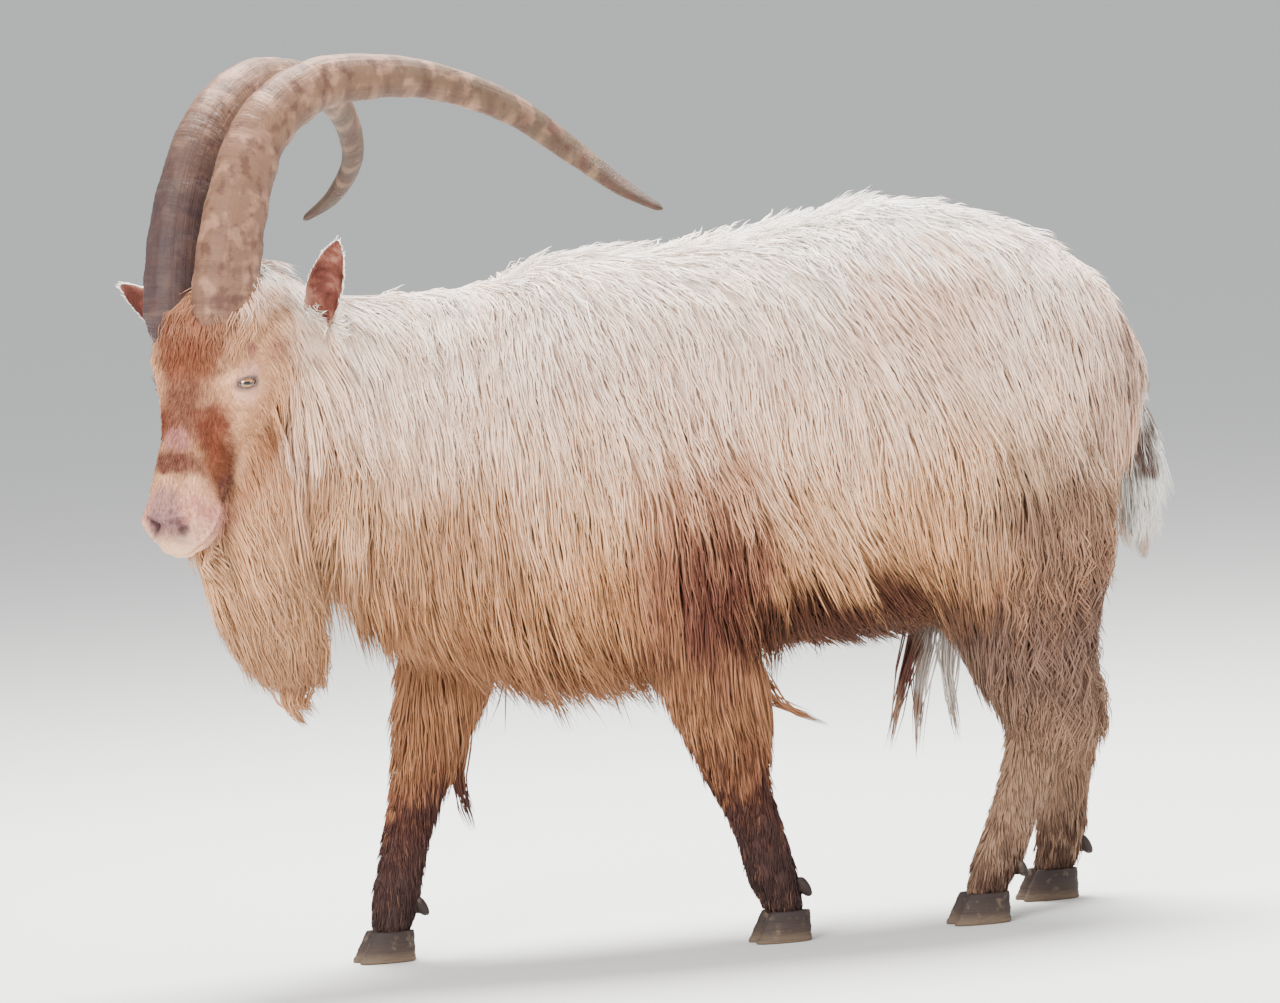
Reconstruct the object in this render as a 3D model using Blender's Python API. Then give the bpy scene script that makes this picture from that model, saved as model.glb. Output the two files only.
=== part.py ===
"""Life-size billy goat of an old long-coated landrace, in a slow walk with its head turned to its left.

Metres, +Z up. The goat faces -X, and its left side is towards -Y. The body is modelled standing over the
working origin. The last step moves the whole goat so that the origin is under the middle of its bounding box.
"""

import math
import random

import bmesh
import bpy
from mathutils import Matrix, Vector
from mathutils.kdtree import KDTree

# Driving dimensions of the animal, in metres
GAP = 0.0003
HEAD_TURN = math.radians(37)
HEAD_PITCH = math.radians(57)
POLL = Vector((-0.548, -0.120, 0.8225))
HEAD_CUT = 0.118
HORN_ROOT = Vector((-0.562, -0.120, 0.793))
CORE = 0.50
THIN = 0.44
TINY = 0.00001
SEED = 13

LEFT = -1
RIGHT = 1

# Outline of the trunk under the coat: station, top, bottom, half width,
# and the coat's depth above, below and beside
TRUNK = (
    (-0.350, 0.600, 0.530, 0.030, 0.020, 0.050, 0.020),
    (-0.320, 0.650, 0.475, 0.075, 0.020, 0.070, 0.030),
    (-0.220, 0.745, 0.415, 0.120, 0.030, 0.110, 0.045),
    (-0.100, 0.810, 0.395, 0.142, 0.035, 0.120, 0.050),
    (0.040, 0.812, 0.385, 0.160, 0.036, 0.070, 0.045),
    (0.200, 0.827, 0.388, 0.172, 0.042, 0.060, 0.040),
    (0.300, 0.845, 0.395, 0.168, 0.045, 0.075, 0.040),
    (0.430, 0.832, 0.440, 0.152, 0.030, 0.080, 0.040),
    (0.530, 0.785, 0.505, 0.122, 0.030, 0.060, 0.035),
    (0.595, 0.720, 0.560, 0.080, 0.030, 0.040, 0.025),
    (0.628, 0.660, 0.610, 0.030, 0.020, 0.020, 0.010),
)

# Neck from inside the shoulders to the back of the skull: place along it, x, y, z, half height, half width,
# and the coat's depth above, below and beside
NECK = (
    (0.00, -0.130, 0.000, 0.640, 0.150, 0.095, 0.030, 0.110, 0.040),
    (0.25, -0.225, -0.004, 0.645, 0.142, 0.092, 0.030, 0.150, 0.045),
    (0.50, -0.320, -0.020, 0.660, 0.122, 0.082, 0.030, 0.180, 0.050),
    (0.75, -0.400, -0.042, 0.690, 0.098, 0.072, 0.035, 0.190, 0.048),
    (1.00, -0.470, -0.068, 0.728, 0.082, 0.064, 0.064, 0.170, 0.035),
)

# Head along its own axis from behind the poll to the nose: station, top, bottom, half width, coat depth
HEAD = (
    (-0.055, -0.045, -0.090, 0.030, 0.010),
    (-0.035, -0.018, -0.118, 0.052, 0.012),
    (0.010, 0.004, -0.142, 0.064, 0.012),
    (0.060, 0.010, -0.148, 0.066, 0.012),
    (0.105, 0.002, -0.138, 0.060, 0.010),
    (0.155, -0.014, -0.122, 0.048, 0.008),
    (0.205, -0.026, -0.115, 0.041, 0.006),
    (0.250, -0.033, -0.117, 0.039, 0.005),
    (0.278, -0.043, -0.112, 0.034, 0.004),
    (0.293, -0.060, -0.100, 0.021, 0.003),
)

# Bones, lips and chin: station, angle from the forehead, how far out, how long and how wide
HEAD_BUMPS = (
    (0.082, 52, 0.008, 0.022, 20),
    (0.135, 88, 0.005, 0.035, 22),
    (0.168, 55, -0.004, 0.030, 22),
    (0.274, 62, 0.005, 0.014, 24),
    (0.262, 118, 0.004, 0.020, 14),
    (0.240, 172, 0.005, 0.018, 34),
    (0.225, 122, -0.003, 0.020, 16),
)
EYE_PLACE = (0.100, 0.0590, -0.040)
EYE_RADIUS = 0.0165
LID = 0.0022
MOUTH_HEIGHT = -0.088
NOSTRIL = (0.284, 0.0165, -0.0640)

# Legs by height: z, x, y (as a distance from the mid plane), half length, half width, coat depth
FORE_LEG_BACK = (
    (0.480, -0.055, 0.095, 0.075, 0.050, 0.012),
    (0.410, -0.010, 0.102, 0.068, 0.044, 0.014),
    (0.340, 0.038, 0.100, 0.046, 0.036, 0.016),
    (0.270, 0.056, 0.097, 0.036, 0.030, 0.014),
    (0.215, 0.068, 0.094, 0.029, 0.027, 0.010),
    (0.185, 0.076, 0.092, 0.027, 0.026, 0.008),
    (0.150, 0.088, 0.090, 0.021, 0.019, 0.008),
    (0.105, 0.103, 0.087, 0.019, 0.018, 0.008),
    (0.072, 0.112, 0.085, 0.024, 0.024, 0.008),
    (0.046, 0.121, 0.085, 0.022, 0.023, 0.006),
    (0.034, 0.125, 0.085, 0.026, 0.025, 0.003),
)
FORE_LEG_FORWARD = (
    (0.500, -0.195, 0.090, 0.070, 0.048, 0.012),
    (0.430, -0.200, 0.098, 0.068, 0.042, 0.014),
    (0.360, -0.218, 0.100, 0.050, 0.036, 0.016),
    (0.290, -0.243, 0.097, 0.038, 0.030, 0.014),
    (0.230, -0.262, 0.094, 0.029, 0.027, 0.010),
    (0.200, -0.272, 0.092, 0.027, 0.026, 0.008),
    (0.160, -0.284, 0.090, 0.021, 0.019, 0.008),
    (0.110, -0.298, 0.087, 0.019, 0.018, 0.008),
    (0.074, -0.307, 0.085, 0.024, 0.024, 0.008),
    (0.046, -0.313, 0.085, 0.022, 0.023, 0.006),
    (0.034, -0.316, 0.085, 0.026, 0.025, 0.003),
)
HIND_LEG_FORWARD = (
    (0.600, 0.430, 0.070, 0.080, 0.030, 0.012),
    (0.530, 0.435, 0.088, 0.118, 0.052, 0.020),
    (0.450, 0.428, 0.103, 0.110, 0.066, 0.026),
    (0.370, 0.432, 0.102, 0.078, 0.052, 0.030),
    (0.300, 0.450, 0.098, 0.054, 0.038, 0.028),
    (0.245, 0.468, 0.095, 0.040, 0.028, 0.016),
    (0.215, 0.462, 0.093, 0.033, 0.026, 0.010),
    (0.170, 0.440, 0.091, 0.023, 0.020, 0.008),
    (0.115, 0.412, 0.090, 0.021, 0.019, 0.008),
    (0.074, 0.393, 0.090, 0.025, 0.024, 0.008),
    (0.046, 0.380, 0.090, 0.023, 0.023, 0.006),
    (0.034, 0.375, 0.090, 0.027, 0.025, 0.003),
)
HIND_LEG_BACK = (
    (0.600, 0.445, 0.070, 0.080, 0.030, 0.012),
    (0.530, 0.455, 0.088, 0.116, 0.052, 0.020),
    (0.450, 0.465, 0.103, 0.108, 0.066, 0.026),
    (0.370, 0.492, 0.102, 0.080, 0.052, 0.030),
    (0.300, 0.528, 0.098, 0.056, 0.038, 0.028),
    (0.245, 0.562, 0.095, 0.041, 0.028, 0.016),
    (0.215, 0.564, 0.093, 0.034, 0.026, 0.010),
    (0.170, 0.556, 0.091, 0.023, 0.020, 0.008),
    (0.115, 0.547, 0.090, 0.021, 0.019, 0.008),
    (0.074, 0.541, 0.090, 0.025, 0.024, 0.008),
    (0.046, 0.534, 0.090, 0.023, 0.023, 0.006),
    (0.034, 0.530, 0.090, 0.027, 0.025, 0.003),
)
# Locks of a leg: height, first and last angle from the back of the leg, how many, their fall and half width
THIGH_LOCKS = (
    (0.470, -30, 100, 3, 0.15, 0.034),
    (0.405, -60, 130, 4, 0.15, 0.028),
    (0.335, -80, 100, 3, 0.12, 0.022),
)
ARM_LOCKS = (
    (0.370, -50, 110, 3, 0.13, 0.022),
)

# Loose tufts behind a fore leg: x, y, z, fall, drift and half width
TUFTS = {
    "fore_left": ((0.078, -0.100, 0.300, 0.070, 0.080, 0.008),),
    "fore_right": (
        (-0.222, 0.092, 0.285, 0.150, 0.012, 0.013),
        (-0.226, 0.108, 0.275, 0.120, 0.024, 0.011),
    ),
}
KNEE_CUT = 0.165
HOCK_CUT = 0.195

# One horn from the poll: backwards, outwards and upwards from it, then half depth and half width
HORN = (
    (0.004, 0.034, -0.030, 0.0440, 0.0310),
    (0.006, 0.035, 0.030, 0.0435, 0.0305),
    (0.030, 0.037, 0.120, 0.0405, 0.0285),
    (0.085, 0.038, 0.209, 0.0360, 0.0255),
    (0.174, 0.048, 0.257, 0.0300, 0.0220),
    (0.274, 0.069, 0.264, 0.0245, 0.0190),
    (0.376, 0.090, 0.250, 0.0205, 0.0165),
    (0.470, 0.124, 0.212, 0.0180, 0.0145),
    (0.534, 0.162, 0.158, 0.0155, 0.0125),
    (0.560, 0.212, 0.112, 0.0115, 0.0100),
    (0.568, 0.266, 0.082, 0.0045, 0.0042),
)

# Tail: place along it, x, z, half depth, half width, coat depth
TAIL = (
    (0.0, 0.570, 0.690, 0.024, 0.026, 0.010),
    (0.3, 0.606, 0.655, 0.018, 0.022, 0.012),
    (0.6, 0.626, 0.590, 0.012, 0.018, 0.020),
    (0.85, 0.636, 0.515, 0.006, 0.010, 0.026),
    (1.0, 0.634, 0.452, 0.002, 0.004, 0.008),
)

# Ears from the poll: backwards, outwards and upwards to the root, then to the tip
EARS = {
    LEFT: ((0.088, 0.074, -0.040), (0.050, 0.135, 0.062)),
    RIGHT: ((0.066, 0.066, -0.045), (0.036, 0.170, 0.028)),
}

# The leaf of an ear: place along it, half width, how far it curls
EAR_LEAF = (
    (0.00, 0.0140, 0.95),
    (0.12, 0.0180, 0.90),
    (0.35, 0.0250, 0.75),
    (0.60, 0.0245, 0.60),
    (0.85, 0.0145, 0.50),
    (1.00, 0.0030, 0.40),
)

# Beard: place along it, distance back from the poll, height, half length, half width
BEARD = (
    (0.00, 0.000, 0.640, 0.060, 0.040),
    (0.35, 0.050, 0.510, 0.085, 0.050),
    (0.70, 0.103, 0.410, 0.076, 0.043),
    (0.90, 0.134, 0.350, 0.045, 0.028),
    (1.00, 0.145, 0.318, 0.012, 0.008),
)

# Rows of locks down each side of the trunk: angle from the spine, how far round and how far back each lock
# runs, its half width, how many there are, and the first and last station
TRUNK_LOCKS = (
    (5, 46, 0.050, 0.034, 12, -0.20, 0.56),
    (34, 36, 0.050, 0.034, 12, -0.26, 0.57),
    (62, 30, 0.045, 0.034, 12, -0.28, 0.55),
    (86, 24, 0.040, 0.033, 11, -0.28, 0.52),
)
NECK_LOCKS = (
    (5, 58, 0.22, 0.031, 4, 0.34, 0.98),
    (46, 46, 0.20, 0.033, 4, 0.36, 1.00),
)

# Long hair under the belly in front of the thighs: x, y, fall, drift and half width of each wisp.
# Fringe that hangs from the lower flank: angle, how many, first and last station, half width.
WISPS = (
    (0.345, -0.012, 0.175, -0.050, 0.012),
    (0.362, 0.010, 0.165, -0.024, 0.011),
    (0.372, -0.016, 0.180, 0.010, 0.011),
    (0.384, 0.006, 0.150, 0.040, 0.010),
)
TRUNK_FRINGE = (
    (114, 12, -0.30, 0.54, 0.032),
    (150, 8, -0.31, 0.40, 0.030),
)
NECK_FRINGE = (
    (96, 4, 0.40, 1.00, 0.035),
    (145, 4, 0.40, 1.00, 0.032),
)

# Locks of the beard: place along it, reach, how many, half width
BEARD_LOCKS = (
    (0.16, 0.46, 6, 0.030),
    (0.50, 0.50, 7, 0.026),
)

# Hair of the jaw and cheeks: station, angle from the forehead and fall
JAW_LOCKS = ((0.020, 92, 0.11), (0.045, 122, 0.11), (0.090, 126, 0.10))

# How a lock climbs out of the coat from its root to its tip: 0 is the skin, 1 the coat's surface
RISE = (0.30, 0.74, 0.90, 1.0, 1.03)
CREST_RISE = (0.30, 0.92, 1.02, 1.02, 1.0)
BEARD_RISE = (0.25, 0.74, 0.92, 1.0, 1.0)
LEG_RISE = (0.2, 0.85, 1.05, 1.16, 1.32)
FACE_RISE = (-1.0, 0.8, 1.2, 1.1, 0.8)

# Finish of each kind of part: a word of its name, what it is, colour and roughness
FINISHES = (
    ("claw", "horn", (0.10, 0.08, 0.07), 0.55),
    ("horn", "horn", (0.30, 0.21, 0.16), 0.50),
    ("eye", "eye", (0.35, 0.25, 0.08), 0.10),
    ("ear_", "hair", (0.55, 0.38, 0.26), 0.85),
    ("beard", "hair", (0.66, 0.46, 0.28), 0.90),
    ("lower", "hair", (0.25, 0.15, 0.10), 0.90),
    ("fore", "hair", (0.50, 0.33, 0.20), 0.90),
    ("hind", "hair", (0.48, 0.35, 0.26), 0.90),
    ("head", "hair", (0.62, 0.42, 0.28), 0.85),
    ("neck", "hair", (0.80, 0.66, 0.50), 0.90),
    ("tail", "hair", (0.78, 0.70, 0.60), 0.90),
    ("torso", "hair", (0.82, 0.70, 0.57), 0.90),
)


def clear_scene():
    for found in list(bpy.data.objects):
        bpy.data.objects.remove(found, do_unlink=True)


def finish(name, colour, roughness):
    material = bpy.data.materials.new(name)
    material.use_nodes = True
    shader = material.node_tree.nodes["Principled BSDF"]
    shader.inputs["Base Color"].default_value = (*colour, 1)
    shader.inputs["Roughness"].default_value = roughness
    return material


def eased(stations, place):
    """The numbers of a station table at a place between its rows, on a smooth curve through them."""
    last = len(stations) - 1
    row = 0
    rising = stations[last][0] > stations[0][0]
    while row < last - 1 and (stations[row + 1][0] < place) == rising:
        row += 1
    before, here = stations[max(row - 1, 0)], stations[row]
    there, after = stations[row + 1], stations[min(row + 2, last)]
    span = there[0] - here[0]
    share = min(max((place - here[0]) / span, 0), 1)
    found = []
    for column in range(1, len(here)):
        leave = (there[column] - before[column]) / (there[0] - before[0]) * span
        arrive = (after[column] - here[column]) / (after[0] - here[0]) * span
        a = 2 * share**3 - 3 * share**2 + 1
        b = share**3 - 2 * share**2 + share
        c = 3 * share**2 - 2 * share**3
        d = share**3 - share**2
        found.append(a * here[column] + b * leave + c * there[column] + d * arrive)
    return found


def rounded(angle, power):
    """A point on a unit superellipse: sideways and up. Angle 0 is the top."""
    side, up = math.sin(angle), math.cos(angle)
    return (
        math.copysign(abs(side) ** (2 / power), side),
        math.copysign(abs(up) ** (2 / power), up),
    )


def add_mesh(name, rings, flat_ends=False):
    """A closed mesh through a row of rings of points, closed at each end by a fan or by one flat face."""
    shape = bmesh.new()
    rows = [[shape.verts.new(point) for point in ring] for ring in rings]
    sides = len(rings[0])
    for first, second in zip(rows, rows[1:]):
        for side in range(sides):
            after = (side + 1) % sides
            shape.faces.new((first[side], first[after], second[after], second[side]))
    for ring, row in ((rings[0], rows[0]), (rings[-1], rows[-1])):
        if flat_ends:
            shape.faces.new(row)
            continue
        middle = shape.verts.new(sum(ring, Vector()) / sides)
        for side in range(sides):
            shape.faces.new((row[side], row[(side + 1) % sides], middle))
    bmesh.ops.recalc_face_normals(shape, faces=shape.faces)
    if shape.calc_volume(signed=True) < 0:
        bmesh.ops.reverse_faces(shape, faces=shape.faces)
    bmesh.ops.triangulate(shape, faces=shape.faces, quad_method="FIXED")
    mesh = bpy.data.meshes.new(name)
    shape.to_mesh(mesh)
    shape.free()
    made = bpy.data.objects.new(name, mesh)
    bpy.context.scene.collection.objects.link(made)
    return made


def spread(first, last, count):
    return [first + (last - first) * step / (count - 1) for step in range(count)]


def trunk_point(x, angle, coat):
    top, bottom, half, coat_top, coat_bottom, coat_side = eased(TRUNK, x)
    top += coat * coat_top
    bottom -= coat * coat_bottom
    half += coat * coat_side
    middle = bottom + (top - bottom) * 0.52
    side, up = rounded(angle, 2.3)
    reach = (top - middle) if up > 0 else (middle - bottom)
    return Vector((x, side * half, middle + up * reach))


def neck_point(place, angle, coat):
    x, y, z, half_height, half_width, coat_top, coat_bottom, coat_side = eased(NECK, place)
    ahead = eased(NECK, min(place + 0.02, 1.0))
    behind = eased(NECK, max(place - 0.02, 0.0))
    run = Vector((ahead[0] - behind[0], ahead[1] - behind[1], 0)).normalized()
    across = Vector((0, 0, 1)).cross(run)
    side, up = rounded(angle, 2.1)
    reach = half_height + coat * (coat_top if up > 0 else coat_bottom)
    return Vector((x, y, z)) + across * side * (half_width + coat * coat_side) + Vector((0, 0, up * reach))


def head_frame():
    """Matrix from the head's own axes (along the face, to its left, out of the forehead) to the goat's."""
    heading = Vector((-math.cos(HEAD_TURN), -math.sin(HEAD_TURN), 0))
    up = Vector((0, 0, 1))
    along = heading * math.cos(HEAD_PITCH) - up * math.sin(HEAD_PITCH)
    out = heading * math.sin(HEAD_PITCH) + up * math.cos(HEAD_PITCH)
    left = out.cross(along)
    turn = Matrix((along, left, out)).transposed().to_4x4()
    return Matrix.Translation(POLL) @ turn


def head_bump(station, angle):
    """How far the bones and lips stand out: brow, cheek bone, nose wing, lips and chin."""
    found = 0.0
    turned = math.degrees(abs(angle if angle <= math.pi else angle - 2 * math.pi))
    for place, around, rise, length, width in HEAD_BUMPS:
        found += rise * math.exp(-(((station - place) / length) ** 2) - ((turned - around) / width) ** 2)
    return found


def head_point(station, angle, coat):
    top, bottom, half, depth = eased(HEAD, station)
    extra = coat * depth + head_bump(station, angle)
    middle = bottom + (top - bottom) * 0.55
    side, up = rounded(angle, 2.3)
    reach = (top - middle if up > 0 else middle - bottom) + extra
    return head_frame() @ Vector((station, side * (half + extra), middle + up * reach))


def leg_point(stations, side, z, angle, coat):
    x, y, half_length, half_width, depth = eased(stations, z)
    across, along = rounded(angle, 2.0)
    extra = coat * depth
    return Vector((x + along * (half_length + extra), side * y + across * (half_width + extra), z))


def horn_point(place, side):
    """Middle of a horn in the goat's axes, with its half depth and half width. Place runs from 0 to 1."""
    rows = [(step / (len(HORN) - 1), *row) for step, row in enumerate(HORN)]
    back, out, up, depth, width = eased(rows, place)
    heading = Vector((-math.cos(HEAD_TURN), -math.sin(HEAD_TURN), 0))
    outward = Vector((0, 0, 1)).cross(heading) * -side
    return HORN_ROOT - heading * back + outward * out + Vector((0, 0, up)), depth, width


def swell(piece, amount):
    """Moves every face of a closed shape outwards by an amount."""
    shape = bmesh.new()
    shape.from_mesh(piece.data)
    shape.normal_update()
    moves = [vertex.normal * min(vertex.calc_shell_factor(), 2.0) * amount for vertex in shape.verts]
    for vertex, move in zip(shape.verts, moves):
        vertex.co += move
    shape.to_mesh(piece.data)
    shape.free()
    return piece


def lock_mesh(name, spine, outs, halves, thick):
    """A flat tapered lock: a low ridge over a flat underside, bent along a row of points."""
    rings = []
    for step, point in enumerate(spine):
        run = spine[min(step + 1, len(spine) - 1)] - spine[max(step - 1, 0)]
        across = run.cross(outs[step]).normalized() * halves[step]
        lift = across.cross(run).normalized() * thick[step]
        rings.append([point - across - lift * 0.3, point + lift * 0.7, point + across - lift * 0.3])
    return add_mesh(name, rings, flat_ends=True)


def taper(half):
    """Half widths of a lock from its root to its tip."""
    return [half * share for share in (0.85, 1.00, 0.92, 0.62, 0.09)]


def laid_lock(surface, start, angle, drift, turn, half, chance, levels=RISE):
    """A lock that lies along a surface of the coat and rises from its core to its tips."""
    spine, outs = [], []
    sway = chance.uniform(-0.25, 0.25)
    for step, level in enumerate(levels):
        share = step / (len(levels) - 1)
        place = start + drift * (share + sway * math.sin(share * 3))
        around = angle + turn * share
        spine.append(surface(place, around, level))
        outs.append((surface(place, around, 1.0) - surface(place, around, 0.2)).normalized())
    thick = [0.011, 0.013, 0.012, 0.009, 0.0022]
    return lock_mesh("lock", spine, outs, taper(half), thick)


def hanging_lock(root, outward, fall, lean, half, chance):
    """A lock that hangs from its root: outward faces away from the body, lean is how far it drifts."""
    spine = []
    wave = outward.cross(Vector((0, 0, 1))) * chance.uniform(-0.012, 0.012)
    for step in range(5):
        share = step / 4
        drop = Vector((0, 0, -fall * share)) + lean * share**1.5
        spine.append(root + drop + outward * 0.010 * math.sin(share * math.pi) + wave * math.sin(share * 5))
    thick = [0.012, 0.014, 0.012, 0.009, 0.0022]
    return lock_mesh("lock", spine, [outward] * 5, taper(half), thick)


def trunk_core(name, first, last, coat, count, sides):
    angles = [2 * math.pi * step / sides for step in range(sides)]
    return add_mesh(name, [[trunk_point(x, a, coat) for a in angles] for x in spread(first, last, count)])


def neck_core(name, first, last, coat, count, sides):
    angles = [2 * math.pi * step / sides for step in range(sides)]
    return add_mesh(name, [[neck_point(p, a, coat) for a in angles] for p in spread(first, last, count)])


def head_core(name, coat, count, sides):
    angles = [2 * math.pi * step / sides for step in range(sides)]
    places = spread(HEAD[0][0], HEAD[-1][0], count)
    return add_mesh(name, [[head_point(p, a, coat) for a in angles] for p in places])


def leg_core(name, stations, side, first, last, coat, count, sides):
    angles = [2 * math.pi * step / sides for step in range(sides)]
    rings = [[leg_point(stations, side, z, a, coat) for a in angles] for z in spread(first, last, count)]
    return add_mesh(name, rings)


def slab(name, middle, normal, thick, reach=1.2):
    """A wide block whose face nearest the kept side goes through middle, for cutting with."""
    bpy.ops.mesh.primitive_cube_add(size=1)
    block = bpy.context.object
    block.name = name
    scale = Matrix.Diagonal((reach, reach, thick, 1))
    turn = Vector(normal).to_track_quat("Z", "Y").to_matrix().to_4x4()
    place = Matrix.Translation(Vector(middle) + Vector(normal).normalized() * thick / 2)
    block.data.transform(place @ turn @ scale)
    return block


def apply_boolean(target, operation, others, solver="MANIFOLD"):
    """Joins or cuts the target with the others, which are used up."""
    group = bpy.data.collections.new("pieces")
    bpy.context.scene.collection.children.link(group)
    for other in others:
        for home in list(other.users_collection):
            home.objects.unlink(other)
        group.objects.link(other)
    step = target.modifiers.new("joined", "BOOLEAN")
    step.operation = operation
    step.operand_type = "COLLECTION"
    step.collection = group
    step.solver = solver
    graph = bpy.context.evaluated_depsgraph_get()
    made = bpy.data.meshes.new_from_object(target.evaluated_get(graph))
    target.modifiers.clear()
    old = target.data
    target.data = made
    bpy.data.meshes.remove(old)
    for other in list(group.objects):
        bpy.data.objects.remove(other, do_unlink=True)
    bpy.data.collections.remove(group)
    keep_largest(target)
    return target


def thin(target, share):
    """Drops the needless points that a union leaves on flat stretches."""
    step = target.modifiers.new("thinned", "DECIMATE")
    step.ratio = share
    graph = bpy.context.evaluated_depsgraph_get()
    graph.update()
    made = bpy.data.meshes.new_from_object(target.evaluated_get(graph))
    target.modifiers.clear()
    old = target.data
    target.data = made
    bpy.data.meshes.remove(old)
    return target


def fit_against(target, sources):
    """Cuts a part back to the neighbours it grows from, a gap clear of them all round."""
    for source in sources:
        for way in ((0, 0, 0), (1, 1, 1), (1, -1, -1), (-1, 1, -1), (-1, -1, 1)):
            copy = copy_of(source, "neighbour")
            copy.data.transform(Matrix.Translation(Vector(way) * GAP))
            apply_boolean(target, "DIFFERENCE", [copy])
    return target


def drop_loose(shape):
    """Drops every closed surface but the largest."""
    unseen = set(shape.faces)
    parts = []
    while unseen:
        part, rim = [], [unseen.pop()]
        while rim:
            face = rim.pop()
            part.append(face)
            for edge in face.edges:
                for other in edge.link_faces if edge.is_manifold else ():
                    if other in unseen:
                        unseen.discard(other)
                        rim.append(other)
        parts.append(part)
    parts.sort(key=lambda part: sum(face.calc_area() for face in part))
    loose = [face for part in parts[:-1] for face in part]
    bmesh.ops.delete(shape, geom=loose, context="FACES")


def is_closed(shape):
    return all(edge.is_manifold for edge in shape.edges) and all(vertex.is_manifold for vertex in shape.verts)


def keep_largest(target):
    """Leaves the object its largest closed surface alone, with no edges of no length."""
    shape = bmesh.new()
    shape.from_mesh(target.data)
    drop_loose(shape)
    cleaned = shape.copy()
    part_touching(cleaned)
    drop_loose(cleaned)
    (cleaned if is_closed(cleaned) else shape).to_mesh(target.data)
    cleaned.free()
    shape.free()


def part_touching(shape):
    """Closes edges of no length, and draws apart points that only touch."""
    bmesh.ops.dissolve_degenerate(shape, dist=TINY, edges=shape.edges)
    bmesh.ops.triangulate(shape, faces=shape.faces)
    shape.normal_update()
    shape.verts.ensure_lookup_table()
    tree = KDTree(len(shape.verts))
    for vertex in shape.verts:
        tree.insert(vertex.co, vertex.index)
    tree.balance()
    moves = []
    for vertex in shape.verts:
        joined = {edge.other_vert(vertex).index for edge in vertex.link_edges}
        for _, index, _ in tree.find_range(vertex.co, TINY):
            if index != vertex.index and index not in joined:
                moves.append((vertex, vertex.normal * -2 * TINY))
                break
    for vertex, move in moves:
        vertex.co += move


def body_locks():
    """The long coat of the trunk and neck: laid rows over the back and sides, then a hanging fringe."""
    chance = random.Random(SEED)
    locks = []
    for surface, table in ((trunk_point, TRUNK_LOCKS), (neck_point, NECK_LOCKS)):
        for row, (angle, turn, drift, half, count, first, last) in enumerate(table):
            for side in (-1, 1):
                for step in range(count):
                    share = (step + 0.5 * (row % 2) + 0.25 * side + chance.uniform(-0.18, 0.18)) / count
                    place = first + (last - first) * min(max(share, 0), 1)
                    if surface is neck_point:
                        place = last - (last - first) * min(max(share, 0), 1)
                    size = chance.uniform(0.85, 1.15)
                    start = math.radians(angle + chance.uniform(-4, 4)) * side
                    around = math.radians(turn) * side * size
                    along = drift * size * (1 if surface is trunk_point else -1)
                    rise = CREST_RISE if row == 0 else RISE
                    locks.append(laid_lock(surface, place, start, along, around, half * size, chance, rise))
    for surface, table in ((trunk_point, TRUNK_FRINGE), (neck_point, NECK_FRINGE)):
        for angle, count, first, last, half in table:
            for side in (-1, 1):
                for step in range(count):
                    share = (step + 0.3 * side + 0.5 + chance.uniform(-0.25, 0.25)) / count
                    place = first + (last - first) * min(max(share, 0), 1)
                    start = math.radians(angle + chance.uniform(-6, 6)) * side
                    root = surface(place, start, CORE - 0.12)
                    low = surface(place, math.pi, 1.0).z
                    beside = math.radians(92) * side
                    outward = (surface(place, beside, 1.0) - surface(place, beside, 0.0)).normalized()
                    reach = (root.z - low) * chance.uniform(0.80, 1.06) * (1.0 if angle > 120 else 0.88)
                    lean = Vector((chance.uniform(0.0, 0.03), 0, 0)) + outward * chance.uniform(-0.01, 0.01)
                    size = chance.uniform(0.85, 1.15)
                    locks.append(hanging_lock(root, outward, max(reach, 0.07), lean, half * size, chance))
    for x, y, fall, drift, half in WISPS:
        root = Vector((x, y, trunk_point(x, math.pi, CORE).z + 0.012))
        locks.append(hanging_lock(root, Vector((0, -1, 0)), fall, Vector((drift, 0, 0)), half, chance))
    return locks


def body_mesh():
    """Trunk and neck in one piece, out to the coat's tips."""
    body = trunk_core("body", TRUNK[0][0], TRUNK[-1][0], CORE, 17, 20)
    neck = neck_core("neck", 0.0, 1.0, CORE, 7, 16)
    apply_boolean(body, "UNION", [neck, *body_locks()])
    return thin(body, THIN)


def copy_of(source, name):
    made = source.copy()
    made.data = source.data.copy()
    made.name = name
    bpy.context.scene.collection.objects.link(made)
    return made


def heading():
    return Vector((-math.cos(HEAD_TURN), -math.sin(HEAD_TURN), 0))


def make_trunk(body):
    """The trunk in three lengths and the neck, cut from one body by thin upright cuts."""
    cuts = (-0.235, -0.030, 0.290)
    names = ("neck", "torso_front", "torso_middle", "torso_rear")
    parts = []
    for step, name in enumerate(names):
        part = copy_of(body, name)
        blocks = []
        if step > 0:
            blocks.append(slab("ahead", (cuts[step - 1] + GAP / 2, 0, 0.5), (-1, 0, 0), 1.2))
        else:
            blocks.append(slab("ahead", POLL - heading() * (HEAD_CUT + GAP), heading(), 0.6))
        if step < 3:
            blocks.append(slab("behind", (cuts[step] - GAP / 2, 0, 0.5), (1, 0, 0), 1.2))
        parts.append(apply_boolean(part, "DIFFERENCE", blocks))
    return parts


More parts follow.
